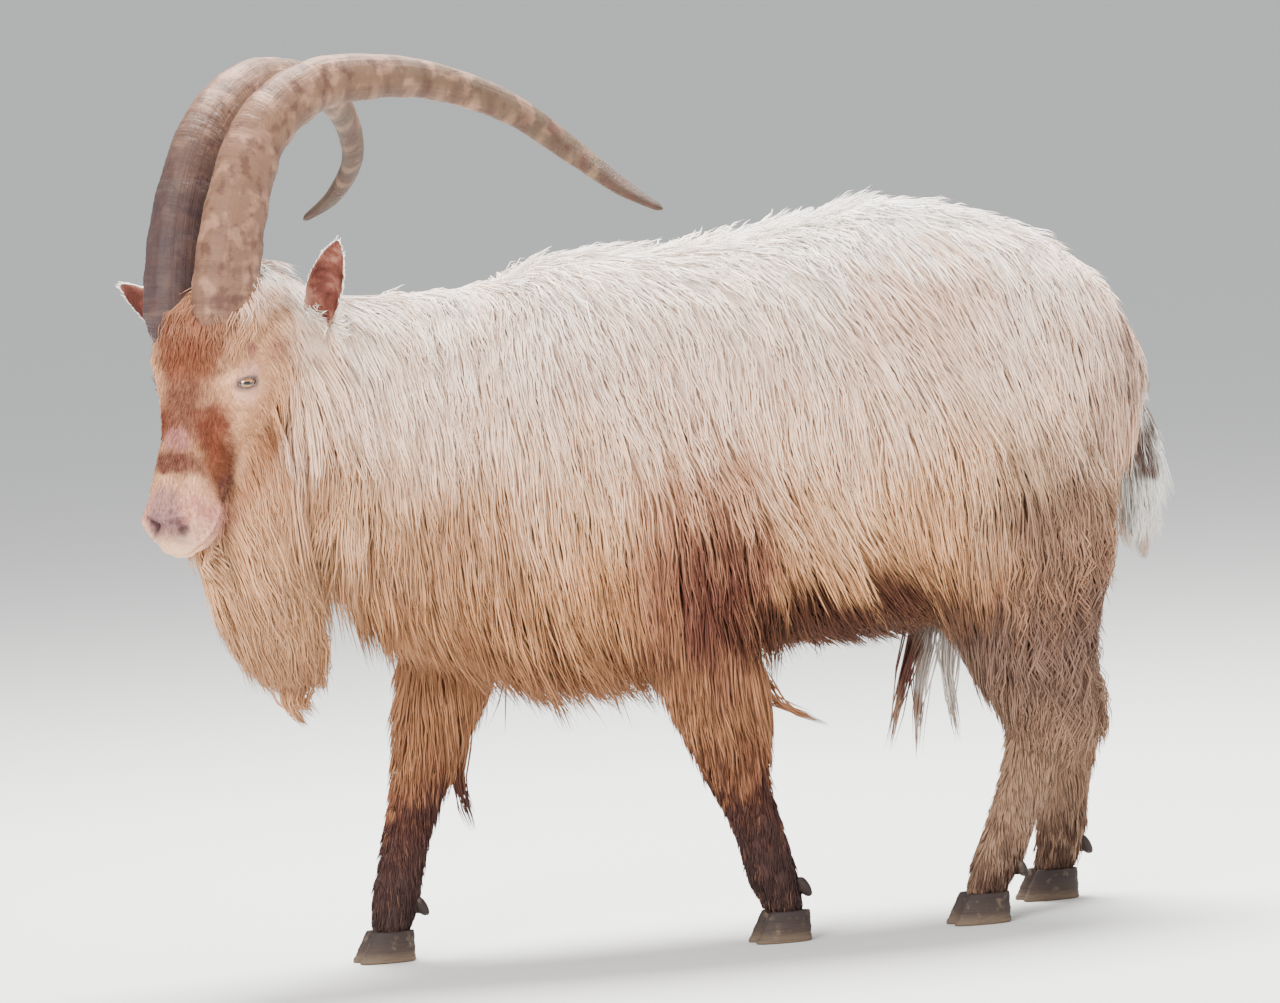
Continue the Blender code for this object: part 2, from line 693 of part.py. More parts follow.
def mouth_cutter():
    """A thin tube along the line of the mouth, from one corner round the nose to the other."""
    frame = head_frame()
    track = []
    for station in spread(0.196, 0.290, 6):
        top, bottom, half, depth = eased(HEAD, station)
        middle = bottom + (top - bottom) * 0.55
        lift = 0.006 * max(0, (0.215 - station) / 0.02) ** 1.5
        share = min((middle - MOUTH_HEIGHT - lift) / (middle - bottom + depth), 0.98)
        side = (half + depth + 0.002) * (1 - share**2.3) ** (1 / 2.3)
        track.append((station, side, MOUTH_HEIGHT + lift))
    points = [Vector((s, y, z)) for s, y, z in track] + [Vector((0.296, 0, MOUTH_HEIGHT - 0.002))]
    points += [Vector((s, -y, z)) for s, y, z in track[::-1]]
    rings = []
    for step, point in enumerate(points):
        run = points[min(step + 1, len(points) - 1)] - points[max(step - 1, 0)]
        up = Vector((0, 0, 1))
        out = run.cross(up).normalized()
        ring = [point + up * 0.0013, point + out * 0.005, point - up * 0.0013, point - out * 0.005]
        rings.append([frame @ corner for corner in ring])
    return add_mesh("mouth", rings)


def ellipsoid(name, place, sizes, tilt=0.0, yaw=0.0, segments=10, rings=6):
    """A ball stretched along the head's own axes, at a place in them."""
    bpy.ops.mesh.primitive_uv_sphere_add(segments=segments, ring_count=rings, radius=1)
    ball = bpy.context.object
    ball.name = name
    turn = Matrix.Rotation(tilt, 4, "Y") @ Matrix.Rotation(yaw, 4, "Z")
    ball.data.transform(head_frame() @ Matrix.Translation(place) @ turn @ Matrix.Diagonal((*sizes, 1)))
    return ball


def head_locks():
    """The fringe over the forehead, and the hair that hangs from the cheeks and the jaw."""
    chance = random.Random(SEED + 1)
    locks = []
    for angle in (-44, -22, 0, 22, 44):
        turn = math.radians(chance.uniform(-6, 6))
        start = chance.uniform(0.0, 0.015)
        around = math.radians(angle)
        locks.append(laid_lock(head_point, start, around, 0.072, turn, 0.015, chance, FACE_RISE))
    outward = head_frame().to_3x3() @ Vector((0, 1, 0))
    for side in (LEFT, RIGHT):
        for station, angle, fall in JAW_LOCKS:
            root = head_point(station, math.radians(angle) * -side, 0.0)
            lean = heading() * -0.035 + outward * side * -0.004
            drop = fall * chance.uniform(0.9, 1.1)
            locks.append(hanging_lock(root, outward * -side, drop, lean, 0.021, chance))
    return locks


def make_skull():
    """Skull, face, lids, forelock and the top of the throat, still whole."""
    along, out, up = EYE_PLACE
    pieces = [head_core("skull", 1.0, 24, 20), neck_core("throat", 0.6, 1.0, CORE, 4, 14), *head_locks()]
    for side in (LEFT, RIGHT):
        pieces.append(ellipsoid("lids", (along, -side * out, up), [EYE_RADIUS + LID] * 3, segments=14, rings=8))
    head = apply_boolean(pieces[0], "UNION", pieces[1:])
    behind = slab("behind", POLL - heading() * HEAD_CUT, -heading(), 0.6)
    return thin(apply_boolean(head, "DIFFERENCE", [behind]), THIN)


def carve_face(head):
    """Opens the sockets of the eyes, the lids, the nostrils and the line of the mouth."""
    along, out, up = EYE_PLACE
    cutters = [mouth_cutter()]
    for side in (LEFT, RIGHT):
        cutters.append(eye_ball("socket", side, EYE_RADIUS + GAP))
        opening = (along + 0.001, -side * (out + 0.0145), up + 0.001)
        cutters.append(ellipsoid("opening", opening, (0.0150, 0.0120, 0.0088), tilt=math.radians(-12)))
        nose = (NOSTRIL[0], -side * NOSTRIL[1], NOSTRIL[2])
        tilt = math.radians(35)
        cutters.append(ellipsoid("nostril", nose, (0.011, 0.0032, 0.0075), tilt=tilt, yaw=-side * 0.5))
    return apply_boolean(head, "DIFFERENCE", cutters)


def eye_ball(name, side, radius):
    bpy.ops.mesh.primitive_uv_sphere_add(segments=14, ring_count=8, radius=radius)
    ball = bpy.context.object
    ball.name = name
    along, out, up = EYE_PLACE
    ball.data.transform(Matrix.Translation(head_frame() @ Vector((along, -side * out, up))))
    return ball


def horn_mesh(name, side):
    """A long horn with a ridge for each spell of growth, swept back and out."""
    sides, ridges = 10, 15
    rings = []
    for step in range(2 * ridges + 1):
        place = step / (2 * ridges)
        middle, depth, width = horn_point(place, side)
        knob = 1 + (0.035 if step % 2 else -0.02) * (1 - place)
        depth, width = depth * knob, width * knob
        ahead, _, _ = horn_point(min(place + 0.01, 1), side)
        behind, _, _ = horn_point(max(place - 0.01, 0), side)
        run = (ahead - behind).normalized()
        across = Vector((0, 0, 1)).cross(heading())
        front = across.cross(run).normalized() * -1
        across = run.cross(front)
        turns = [2 * math.pi * corner / sides for corner in range(sides)]
        rings.append([middle + across * math.sin(a) * width + front * math.cos(a) * depth for a in turns])
    return add_mesh(name, rings)


def upper_pieces(name, stations, side, cut):
    """The flesh of the upper leg, then its locks."""
    upper = leg_core(name + "_upper", stations, side, stations[0][0], cut + GAP / 2, 0.6, 8, 12)
    return [upper, *leg_locks(name, stations, side, cut)]


def make_leg(name, stations, side, cut):
    """The upper and lower leg, and the two claws of the hoof."""
    upper, *locks = upper_pieces(name, stations, side, cut)
    apply_boolean(upper, "UNION", locks)
    lower = leg_core(name + "_lower", stations, side, cut - GAP / 2, stations[-1][0], 1.0, 8, 12)
    claws = [claw_mesh(name, stations, side, claw) for claw in (-1, 1)]
    return [upper, lower, *claws]


def leg_locks(name, stations, side, cut):
    """Shaggy hair of the thigh, or the fringe behind the elbow. Angle 0 is the back of the leg."""
    chance = random.Random(SEED + len(name) * 7 + int(stations[3][1] * 1000))

    def surface(z, angle, level):
        return leg_point(stations, side, z, angle * side, level)

    rows = THIGH_LOCKS if name.startswith("hind") else ARM_LOCKS
    locks = []
    for top, first, last, count, fall, half in rows:
        for step in range(count):
            share = (step + chance.uniform(-0.2, 0.2)) / max(count - 1, 1)
            angle = math.radians(first + (last - first) * share)
            drop = min(fall * chance.uniform(0.85, 1.1), top - cut - 0.006)
            turn = math.radians(chance.uniform(-8, 8))
            wide = half * chance.uniform(0.9, 1.1)
            locks.append(laid_lock(surface, top, angle, -drop, turn, wide, chance, LEG_RISE))
    for x, y, z, fall, drift, half in TUFTS.get(name, ()):
        root, outward, lean = Vector((x, y, z)), Vector((0, side, 0)), Vector((drift, 0, 0))
        locks.append(hanging_lock(root, outward, fall, lean, half, chance))
    return locks


def claw_mesh(name, stations, side, claw):
    """One claw: a curved, tapering horn box, flat on the floor."""
    x, y, half_length, half_width, _ = eased(stations, stations[-1][0])
    label = "outer" if claw == side else "inner"
    top = stations[-1][0] - GAP
    rows = (
        (top, 0.000, half_length - 0.001, 0.0115),
        (top * 0.5, -0.005, half_length + 0.004, 0.0130),
        (0.0, -0.010, half_length + 0.009, 0.0140),
    )
    middle = side * y + claw * 0.0148
    rings = []
    for z, lean, long_half, wide_half in rows:
        ring = []
        for step in range(12):
            across, along = rounded(2 * math.pi * step / 12, 2.6)
            toe = 1 - 0.28 * max(-along, 0)
            ring.append(Vector((x + lean + along * long_half, middle + across * wide_half * toe, z)))
        rings.append(ring)
    return add_mesh(f"{name}_claw_{label}", rings)


def tail_point(place, angle, level):
    x, z, depth, width, hair = eased(TAIL, min(place, 1.0))
    ahead = eased(TAIL, min(place + 0.02, 1))
    behind = eased(TAIL, max(min(place, 1.0) - 0.02, 0))
    run = Vector((ahead[0] - behind[0], 0, ahead[1] - behind[1])).normalized()
    back = run.cross(Vector((0, 1, 0)))
    side, up = math.sin(angle), math.cos(angle)
    return Vector((x, side * (width + hair * level), z)) + back * up * (depth + hair * level)


def make_tail():
    """A short tail with a tuft of long hair."""
    chance = random.Random(SEED + 3)
    angles = [2 * math.pi * step / 12 for step in range(12)]
    tail = add_mesh("tail", [[tail_point(place, a, CORE) for a in angles] for place in spread(0, 0.84, 8)])
    locks = []
    for start, reach, count in ((0.22, 0.42, 4), (0.46, 0.50, 4)):
        for step in range(count):
            angle = 2 * math.pi * (step + chance.uniform(-0.2, 0.2)) / count
            locks.append(laid_lock(tail_point, start, angle, reach, 0.0, 0.016, chance, LEG_RISE))
    return thin(apply_boolean(tail, "UNION", locks), THIN)


def ear_mesh(side):
    """A leaf rolled into a cup that opens forwards and outwards. Each ear is held its own way."""
    outward = Vector((0, 0, 1)).cross(heading()) * -side
    up = Vector((0, 0, 1))
    near, far = EARS[side]
    root = POLL - heading() * near[0] + outward * near[1] + up * near[2]
    tip = POLL - heading() * far[0] + outward * far[1] + up * far[2]
    run = (tip - root).normalized()
    opening = (heading() * 0.9 + outward * 0.35).normalized()
    opening = (opening - run * opening.dot(run)).normalized()
    across = run.cross(opening)
    wall = 0.0022
    rings = []
    for place in spread(0, 1, 9):
        half, curl = eased(EAR_LEAF, place)
        middle = root.lerp(tip, place)
        outer, inner = [], []
        for step in range(7):
            angle = (step / 6 - 0.5) * math.pi * 1.1 * (0.6 + 0.4 * curl)
            way = across * math.sin(angle) - opening * math.cos(angle) * curl
            rim = 1 - 0.5 * abs(step / 3 - 1) ** 3
            outer.append(middle + way * half + opening * half * 0.4)
            inner.append(middle + way * max(half - wall * 2 * rim, half * 0.3) + opening * half * 0.4)
        rings.append(outer + inner[::-1])
    return add_mesh("ear_left" if side == LEFT else "ear_right", rings)


def beard_point(place, angle, level):
    back, z, long_half, wide_half = eased(BEARD, min(place, 1.0))
    across = Vector((0, 0, 1)).cross(heading())
    middle = POLL - heading() * back
    middle.z = z
    size = 0.60 + 0.40 * level
    return middle + (heading() * math.cos(angle) * long_half + across * math.sin(angle) * wide_half) * size


def make_beard():
    """The beard and the hair of the throat: it hangs from the chin and the jaw and narrows to its tip."""
    chance = random.Random(SEED + 5)
    angles = [2 * math.pi * step / 14 for step in range(12)]
    beard = add_mesh("beard", [[beard_point(place, a, CORE) for a in angles] for place in spread(0, 0.88, 6)])
    locks = []
    for start, reach, count, half in BEARD_LOCKS:
        for step in range(count):
            angle = 2 * math.pi * (step + 0.5 * (count % 2) + chance.uniform(-0.2, 0.2)) / count
            length = min(reach * chance.uniform(0.85, 1.05), 1.0 - start)
            locks.append(laid_lock(beard_point, start, angle, length, 0.1, half, chance, BEARD_RISE))
    return thin(apply_boolean(beard, "UNION", locks), THIN)


def move_to_origin(parts):
    """Sets the goat so that the origin is under the middle of its bounding box, on the floor."""
    corners = [part.matrix_world @ vertex.co for part in parts for vertex in part.data.vertices]
    low = Vector(min(corner[axis] for corner in corners) for axis in range(3))
    high = Vector(max(corner[axis] for corner in corners) for axis in range(3))
    shift = Vector((-(low.x + high.x) / 2, -(low.y + high.y) / 2, -low.z))
    for part in parts:
        part.data.transform(Matrix.Translation(shift))


def main():
    clear_scene()
    goat = bpy.data.collections.new("goat")
    bpy.context.scene.collection.children.link(goat)
    body = body_mesh()
    legs = (
        ("fore_left", FORE_LEG_BACK, LEFT, KNEE_CUT),
        ("fore_right", FORE_LEG_FORWARD, RIGHT, KNEE_CUT + 0.015),
        ("hind_left", HIND_LEG_FORWARD, LEFT, HOCK_CUT),
        ("hind_right", HIND_LEG_BACK, RIGHT, HOCK_CUT),
    )
    for leg in legs:
        for piece in upper_pieces(*leg):
            apply_boolean(body, "DIFFERENCE", [swell(piece, GAP * 2)])
    skull = make_skull()
    horns = [horn_mesh("horn_left", LEFT), horn_mesh("horn_right", RIGHT)]
    for horn in horns:
        apply_boolean(skull, "DIFFERENCE", [swell(copy_of(horn, "socket"), GAP)])
    parts = [*make_trunk(body), *horns]
    parts.append(carve_face(copy_of(skull, "head")))
    parts.append(fit_against(make_beard(), [skull, body]))
    parts.append(fit_against(make_tail(), [body]))
    for leg in legs:
        parts += make_leg(*leg)
    for side in (LEFT, RIGHT):
        hand = "left" if side == LEFT else "right"
        parts.append(fit_against(ear_mesh(side), [skull]))
        parts.append(eye_ball("eye_" + hand, side, EYE_RADIUS))
    for spare in (body, skull):
        bpy.data.objects.remove(spare, do_unlink=True)
    for part in parts:
        name, colour, roughness = next(row[1:] for row in FINISHES if row[0] in part.name)
        part.data.materials.clear()
        part.data.materials.append(finish(part.name, colour, roughness))
        for home in list(part.users_collection):
            home.objects.unlink(part)
        goat.objects.link(part)
    move_to_origin(parts)


main()
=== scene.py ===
"""Looks of a life-size billy goat of an old long-coated landrace, in a slow walk with its head turned left.

Metres throughout. The goat faces -X, its left side is towards -Y, and +Z is up.
"""

import math

import bmesh
import bpy
import numpy as np
from mathutils import Matrix, Vector
from mathutils.kdtree import KDTree


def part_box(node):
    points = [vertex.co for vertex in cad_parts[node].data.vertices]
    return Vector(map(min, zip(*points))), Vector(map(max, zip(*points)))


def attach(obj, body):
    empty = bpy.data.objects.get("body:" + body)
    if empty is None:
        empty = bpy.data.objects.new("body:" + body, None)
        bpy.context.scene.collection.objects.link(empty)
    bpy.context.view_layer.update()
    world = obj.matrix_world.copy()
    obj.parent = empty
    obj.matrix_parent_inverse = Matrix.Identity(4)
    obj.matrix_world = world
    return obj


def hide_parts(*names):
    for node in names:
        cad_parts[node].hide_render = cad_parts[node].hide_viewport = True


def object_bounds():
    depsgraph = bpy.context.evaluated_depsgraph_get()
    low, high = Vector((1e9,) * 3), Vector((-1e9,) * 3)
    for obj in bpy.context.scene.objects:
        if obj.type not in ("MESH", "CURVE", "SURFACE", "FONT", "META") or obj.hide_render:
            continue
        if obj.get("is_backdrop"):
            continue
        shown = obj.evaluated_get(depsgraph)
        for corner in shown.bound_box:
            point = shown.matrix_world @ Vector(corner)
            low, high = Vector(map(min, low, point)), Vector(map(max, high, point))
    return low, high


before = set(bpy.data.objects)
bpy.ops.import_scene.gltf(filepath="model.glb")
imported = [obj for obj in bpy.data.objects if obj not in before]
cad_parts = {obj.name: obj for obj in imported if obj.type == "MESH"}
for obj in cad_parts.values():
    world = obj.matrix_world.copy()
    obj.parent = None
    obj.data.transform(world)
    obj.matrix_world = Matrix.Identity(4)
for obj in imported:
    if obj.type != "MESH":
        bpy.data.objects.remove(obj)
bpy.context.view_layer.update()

# The goat's stance
# The goat is measured over a working point on the floor under its middle. Its head is turned to its left and
# its face slopes down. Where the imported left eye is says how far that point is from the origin.
HEAD_TURN = math.radians(37)
FACE_SLOPE = math.radians(57)
POLL = np.array([-0.548, -0.120, 0.8225])
EYE = np.array([0.100, 0.0590, -0.040])
UP = np.array([0.0, 0.0, 1.0])
FORWARD = np.array([-math.cos(HEAD_TURN), -math.sin(HEAD_TURN), 0.0])
ALONG_FACE = FORWARD * math.cos(FACE_SLOPE) - UP * math.sin(FACE_SLOPE)
OFF_FACE = FORWARD * math.sin(FACE_SLOPE) + UP * math.cos(FACE_SLOPE)
HEAD_LEFT = np.cross(OFF_FACE, ALONG_FACE)
HEAD_AXES = np.stack([ALONG_FACE, HEAD_LEFT, OFF_FACE])
ACROSS_HEAD = np.cross(UP, FORWARD)


def from_head(places):
    """Places along the face, to the head's left and off the forehead, as points of the goat."""
    return POLL + np.asarray(places) @ HEAD_AXES


def to_head(points):
    return (np.asarray(points) - POLL) @ HEAD_AXES.T


eye_low, eye_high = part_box("eye_left")
SHIFT = (np.array(eye_low) + np.array(eye_high)) / 2 - from_head(EYE)

# Floor, light and camera
# A plain pale floor far wider than the view, one broad soft light from above and behind as under an open
# sky, one from the front and a weak one from behind the goat. The camera is a long lens on its left side.
CAMERA_TURN = math.radians(-18)
CAMERA_RISE = math.radians(4)
CAMERA_ROLL = math.radians(-3.3)
CAMERA_DISTANCE = 12.0
CAMERA_LENS = 283.5
CAMERA_AIM = np.array([0.0, 0.0, 0.53])
FLOOR_HALF = 200.0
FLOOR_TONE = (0.74, 0.75, 0.74, 1)
SKY_TONE = (0.86, 0.87, 0.88, 1)
SKY_STRENGTH = 0.90
# Lights: name, place, what it looks at, size across, watts, colour
LIGHTS = (
    ("sky_light", (0.7, 1.0, 3.9), (0.0, 0.0, 0.7), 2.2, 800, (1.0, 0.98, 0.95)),
    ("front_light", (-3.6, -4.6, 2.6), (0.0, 0.0, 0.5), 3.0, 630, (1.0, 0.98, 0.94)),
    ("side_light", (4.2, -3.4, 1.8), (0.1, 0.0, 0.5), 2.6, 90, (0.97, 0.98, 1.0)),
)


def stand_in_scene(name, data, place, aim):
    """A camera or light at a place, looking at a point."""
    made = bpy.data.objects.new(name, data)
    turn = (Vector(place) - Vector(aim)).to_track_quat("Z", "Y").to_matrix().to_4x4()
    made.matrix_world = Matrix.Translation(Vector(place)) @ turn
    bpy.context.scene.collection.objects.link(made)
    return made


flat = math.cos(CAMERA_RISE)
back = Vector((math.sin(CAMERA_TURN) * flat, -math.cos(CAMERA_TURN) * flat, math.sin(CAMERA_RISE)))
lens = bpy.data.cameras.new("camera")
lens.lens = CAMERA_LENS
lens.sensor_width = 36
aim = Vector(CAMERA_AIM + SHIFT)
camera = stand_in_scene("camera", lens, aim + back * CAMERA_DISTANCE, aim)
camera.matrix_world = camera.matrix_world @ Matrix.Rotation(CAMERA_ROLL, 4, "Z")
bpy.context.scene.camera = camera

for name, place, aim, size, watts, colour in LIGHTS:
    light = bpy.data.lights.new(name, "AREA")
    light.shape = "DISK"
    light.size = size
    light.energy = watts
    light.color = colour
    stand_in_scene(name, light, place, aim)

world = bpy.data.worlds.new("sky")
bpy.context.scene.world = world
world.use_nodes = True
world.node_tree.nodes["Background"].inputs["Color"].default_value = SKY_TONE
world.node_tree.nodes["Background"].inputs["Strength"].default_value = SKY_STRENGTH

floor_mesh = bpy.data.meshes.new("floor")
floor_corners = [(x * FLOOR_HALF, y * FLOOR_HALF, 0) for x, y in ((-1, -1), (1, -1), (1, 1), (-1, 1))]
floor_mesh.from_pydata(floor_corners, [], [(0, 1, 2, 3)])
floor = bpy.data.objects.new("floor", floor_mesh)
bpy.context.scene.collection.objects.link(floor)
floor_paint = bpy.data.materials.new("pale_floor")
floor_paint.use_nodes = True
floor_paint.node_tree.nodes["Principled BSDF"].inputs["Base Color"].default_value = FLOOR_TONE
floor_paint.node_tree.nodes["Principled BSDF"].inputs["Roughness"].default_value = 0.9
floor.data.materials.append(floor_paint)
floor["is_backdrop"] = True

# Skin: trunk, neck, legs, tail and the core of the beard
# One skin covers the whole goat. Each limb is a row of rounded sections from a table of stations, and the
# limbs are melted into one closed surface. It lies inside the coat by most of the coat's depth.
# Trunk by station: top, bottom, half width, then the coat's depth above, below and beside
TRUNK = (
    (-0.350, 0.600, 0.530, 0.030, 0.020, 0.050, 0.020),
    (-0.320, 0.650, 0.475, 0.075, 0.020, 0.070, 0.030),
    (-0.220, 0.745, 0.415, 0.120, 0.030, 0.110, 0.045),
    (-0.100, 0.810, 0.395, 0.142, 0.035, 0.120, 0.050),
    (0.040, 0.812, 0.385, 0.160, 0.036, 0.070, 0.045),
    (0.200, 0.827, 0.388, 0.172, 0.042, 0.060, 0.040),
    (0.300, 0.845, 0.395, 0.168, 0.045, 0.075, 0.040),
    (0.430, 0.832, 0.440, 0.152, 0.030, 0.080, 0.040),
    (0.530, 0.785, 0.505, 0.122, 0.030, 0.060, 0.035),
    (0.595, 0.720, 0.560, 0.080, 0.030, 0.040, 0.025),
    (0.628, 0.660, 0.610, 0.030, 0.020, 0.020, 0.010),
)
# Neck from inside the shoulders to the skull: place, x, y, z, half height, half width, then the coat's depth
# above, below and beside
NECK = (
    (0.00, -0.130, 0.000, 0.640, 0.150, 0.095, 0.030, 0.110, 0.040),
    (0.25, -0.225, -0.004, 0.645, 0.142, 0.092, 0.030, 0.150, 0.045),
    (0.50, -0.320, -0.020, 0.660, 0.122, 0.082, 0.030, 0.180, 0.050),
    (0.75, -0.400, -0.042, 0.690, 0.098, 0.072, 0.035, 0.190, 0.048),
    (1.00, -0.470, -0.068, 0.728, 0.082, 0.064, 0.064, 0.170, 0.035),
)
# Legs by height: x, distance from the mid plane, half length, half width
LEGS = {
    "fore_left": (
        (0.034, 0.125, 0.085, 0.026, 0.025),
        (0.046, 0.121, 0.085, 0.022, 0.023),
        (0.072, 0.112, 0.085, 0.029, 0.025),
        (0.105, 0.104, 0.087, 0.029, 0.022),
        (0.150, 0.090, 0.090, 0.030, 0.023),
        (0.185, 0.076, 0.092, 0.030, 0.027),
        (0.215, 0.067, 0.094, 0.032, 0.028),
        (0.270, 0.058, 0.097, 0.045, 0.034),
        (0.340, 0.040, 0.100, 0.060, 0.040),
        (0.410, -0.010, 0.102, 0.068, 0.044),
        (0.480, -0.055, 0.095, 0.075, 0.050),
    ),
    "fore_right": (
        (0.034, -0.316, 0.085, 0.026, 0.025),
        (0.046, -0.313, 0.085, 0.022, 0.023),
        (0.074, -0.307, 0.085, 0.028, 0.025),
        (0.110, -0.298, 0.087, 0.027, 0.022),
        (0.160, -0.284, 0.090, 0.028, 0.023),
        (0.200, -0.272, 0.092, 0.027, 0.026),
        (0.230, -0.262, 0.094, 0.029, 0.027),
        (0.290, -0.243, 0.097, 0.038, 0.030),
        (0.360, -0.218, 0.100, 0.050, 0.036),
        (0.430, -0.200, 0.098, 0.068, 0.042),
        (0.500, -0.195, 0.090, 0.070, 0.048),
    ),
    "hind_left": (
        (0.034, 0.375, 0.090, 0.027, 0.025),
        (0.046, 0.380, 0.090, 0.023, 0.023),
        (0.074, 0.393, 0.090, 0.028, 0.025),
        (0.115, 0.412, 0.090, 0.028, 0.022),
        (0.170, 0.438, 0.091, 0.031, 0.023),
        (0.215, 0.458, 0.093, 0.038, 0.028),
        (0.245, 0.468, 0.095, 0.040, 0.028),
        (0.300, 0.450, 0.098, 0.054, 0.038),
        (0.370, 0.432, 0.102, 0.078, 0.052),
        (0.450, 0.428, 0.103, 0.110, 0.066),
        (0.530, 0.435, 0.088, 0.118, 0.052),
        (0.600, 0.430, 0.070, 0.080, 0.030),
    ),
    "hind_right": (
        (0.034, 0.530, 0.090, 0.027, 0.025),
        (0.046, 0.534, 0.090, 0.023, 0.023),
        (0.074, 0.541, 0.090, 0.028, 0.025),
        (0.115, 0.547, 0.090, 0.027, 0.022),
        (0.170, 0.556, 0.091, 0.029, 0.023),
        (0.215, 0.564, 0.093, 0.034, 0.026),
        (0.245, 0.562, 0.095, 0.041, 0.028),
        (0.300, 0.528, 0.098, 0.056, 0.038),
        (0.370, 0.492, 0.102, 0.080, 0.052),
        (0.450, 0.465, 0.103, 0.108, 0.066),
        (0.530, 0.455, 0.088, 0.116, 0.052),
        (0.600, 0.445, 0.070, 0.080, 0.030),
    ),
}
# Tail by height: x, half depth, half width
TAIL = (
    (0.452, 0.634, 0.003, 0.005),
    (0.515, 0.634, 0.013, 0.012),
    (0.590, 0.624, 0.018, 0.019),
    (0.655, 0.606, 0.019, 0.022),
    (0.690, 0.570, 0.026, 0.026),
)
# Core of the beard by height: distance back from the poll, half length, half width out to the tips
BEARD = (
    (0.318, 0.145, 0.012, 0.008),
    (0.350, 0.134, 0.034, 0.026),
    (0.410, 0.103, 0.068, 0.043),
    (0.510, 0.050, 0.090, 0.058),
    (0.610, 0.020, 0.092, 0.068),
    (0.705, 0.010, 0.070, 0.056),
)
# How far out in the coat the skin lies on the trunk, the neck and the beard, how much of the beard's tip is
# hair alone, and how square the sections are: 2 is an ellipse
TRUNK_LEVEL = 0.30
NECK_LEVEL = 0.32
BEARD_CORE = 0.72
BEARD_TIP = 0.075
ROUND = 2.3
NECK_ROUND = 2.1
# Outside everything, for points that are past the end of a part
FAR_OFF = 9.0
LEFT = -1
RIGHT = 1
VOXEL = 0.0066


def eased(rows, place):
    """The columns of a table of stations at places between its rows, on a smooth curve through them."""
    table = np.array(rows, float)
    at, values = table[:, 0], table[:, 1:]
    slope = np.gradient(values, axis=0)
    slope[1:-1] = (values[2:] - values[:-2]) / (at[2:] - at[:-2])[:, None]
    slope[0] = (values[1] - values[0]) / (at[1] - at[0])
    slope[-1] = (values[-1] - values[-2]) / (at[-1] - at[-2])
    row = np.clip(np.searchsorted(at, place) - 1, 0, len(at) - 2)
    span = (at[row + 1] - at[row])[:, None]
    t = np.clip((place - at[row])[:, None] / span, 0, 1)
    before = (2 * t**3 - 3 * t**2 + 1) * values[row] + (t**3 - 2 * t**2 + t) * span * slope[row]
    after = (3 * t**2 - 2 * t**3) * values[row + 1] + (t**3 - t**2) * span * slope[row + 1]
    return (before + after).T


def bent(value, power):
    """Raises a number to a power and keeps its sign."""
    return np.sign(value) * np.abs(value) ** power


def rounded(angle, power=ROUND):
    """How far across and how far up a rounded section a point is, for its angle from the top."""
    return bent(np.sin(angle), 2 / power), bent(np.cos(angle), 2 / power)


def unrounded(across, rise):
    """The angle from the top, and how many times further out than the section a point is."""
    far = (np.abs(across) ** ROUND + np.abs(rise) ** ROUND) ** (1 / ROUND)
    return np.arctan2(bent(across, ROUND / 2), bent(rise, ROUND / 2)), far


def trunk_sizes(x):
    top, bottom, half, over, under, beside = eased(TRUNK, x)
    top = top + TRUNK_LEVEL * over
    bottom = bottom - TRUNK_LEVEL * under
    return top, bottom, half + TRUNK_LEVEL * beside, bottom + (top - bottom) * 0.52


def trunk_point(x, angle):
    """A point of the trunk's skin. Angle 0 is the spine."""
    top, bottom, half, middle = trunk_sizes(x)
    side, rise = rounded(angle)
    reach = np.where(rise > 0, top - middle, middle - bottom)
    return np.stack([x, side * half, middle + rise * reach], 1)


def trunk_place(points):
    """Station, angle, and how many times further out than the skin a point is."""
    x = np.clip(points[:, 0], TRUNK[0][0], TRUNK[-1][0])
    top, bottom, half, middle = trunk_sizes(x)
    reach = np.where(points[:, 2] > middle, top - middle, middle - bottom)
    angle, far = unrounded(points[:, 1] / half, (points[:, 2] - middle) / reach)
    return x, angle, far


def neck_axes(place):
    x, y, z, tall, wide, over, under, beside = eased(NECK, place)
    ahead = eased(NECK, np.minimum(place + 0.02, 1))
    behind = eased(NECK, np.maximum(place - 0.02, 0))
    run = np.stack([ahead[0] - behind[0], ahead[1] - behind[1], 0 * x], 1)
    run /= np.linalg.norm(run, axis=1, keepdims=True)
    return np.stack([x, y, z], 1), np.cross(UP, run), tall, wide, over, under, beside


def neck_point(place, angle):
    middle, across, tall, wide, over, under, beside = neck_axes(place)
    side, rise = rounded(angle, NECK_ROUND)
    reach = tall + NECK_LEVEL * np.where(rise > 0, over, under)
    return middle + across * (side * (wide + NECK_LEVEL * beside))[:, None] + UP * (rise * reach)[:, None]


def neck_place(points):
    at = np.array(NECK)
    place = np.interp(-points[:, 0], -at[:, 1], at[:, 0], left=-1)
    middle, across, tall, wide, over, under, beside = neck_axes(np.clip(place, 0, 1))
    off = points - middle
    side = (off * across).sum(1) / (wide + NECK_LEVEL * beside)
    rise = off[:, 2] / (tall + NECK_LEVEL * np.where(off[:, 2] > 0, over, under))
    far = np.where(place < 0, FAR_OFF, np.hypot(side, rise))
    far = np.where(points[:, 0] < NECK[-1][1] - 0.02, FAR_OFF, far)
    return place, np.arctan2(side, rise), far


def side_of(name):
    return LEFT if name.endswith("left") else RIGHT


def leg_point(rows, side, z, angle):
    """A point of a leg's skin. Angle 0 is the back of the leg."""
    x, y, long_half, wide_half = eased(rows, z)
    return np.stack([x + np.cos(angle) * long_half, side * y + np.sin(angle) * wide_half, z], 1)


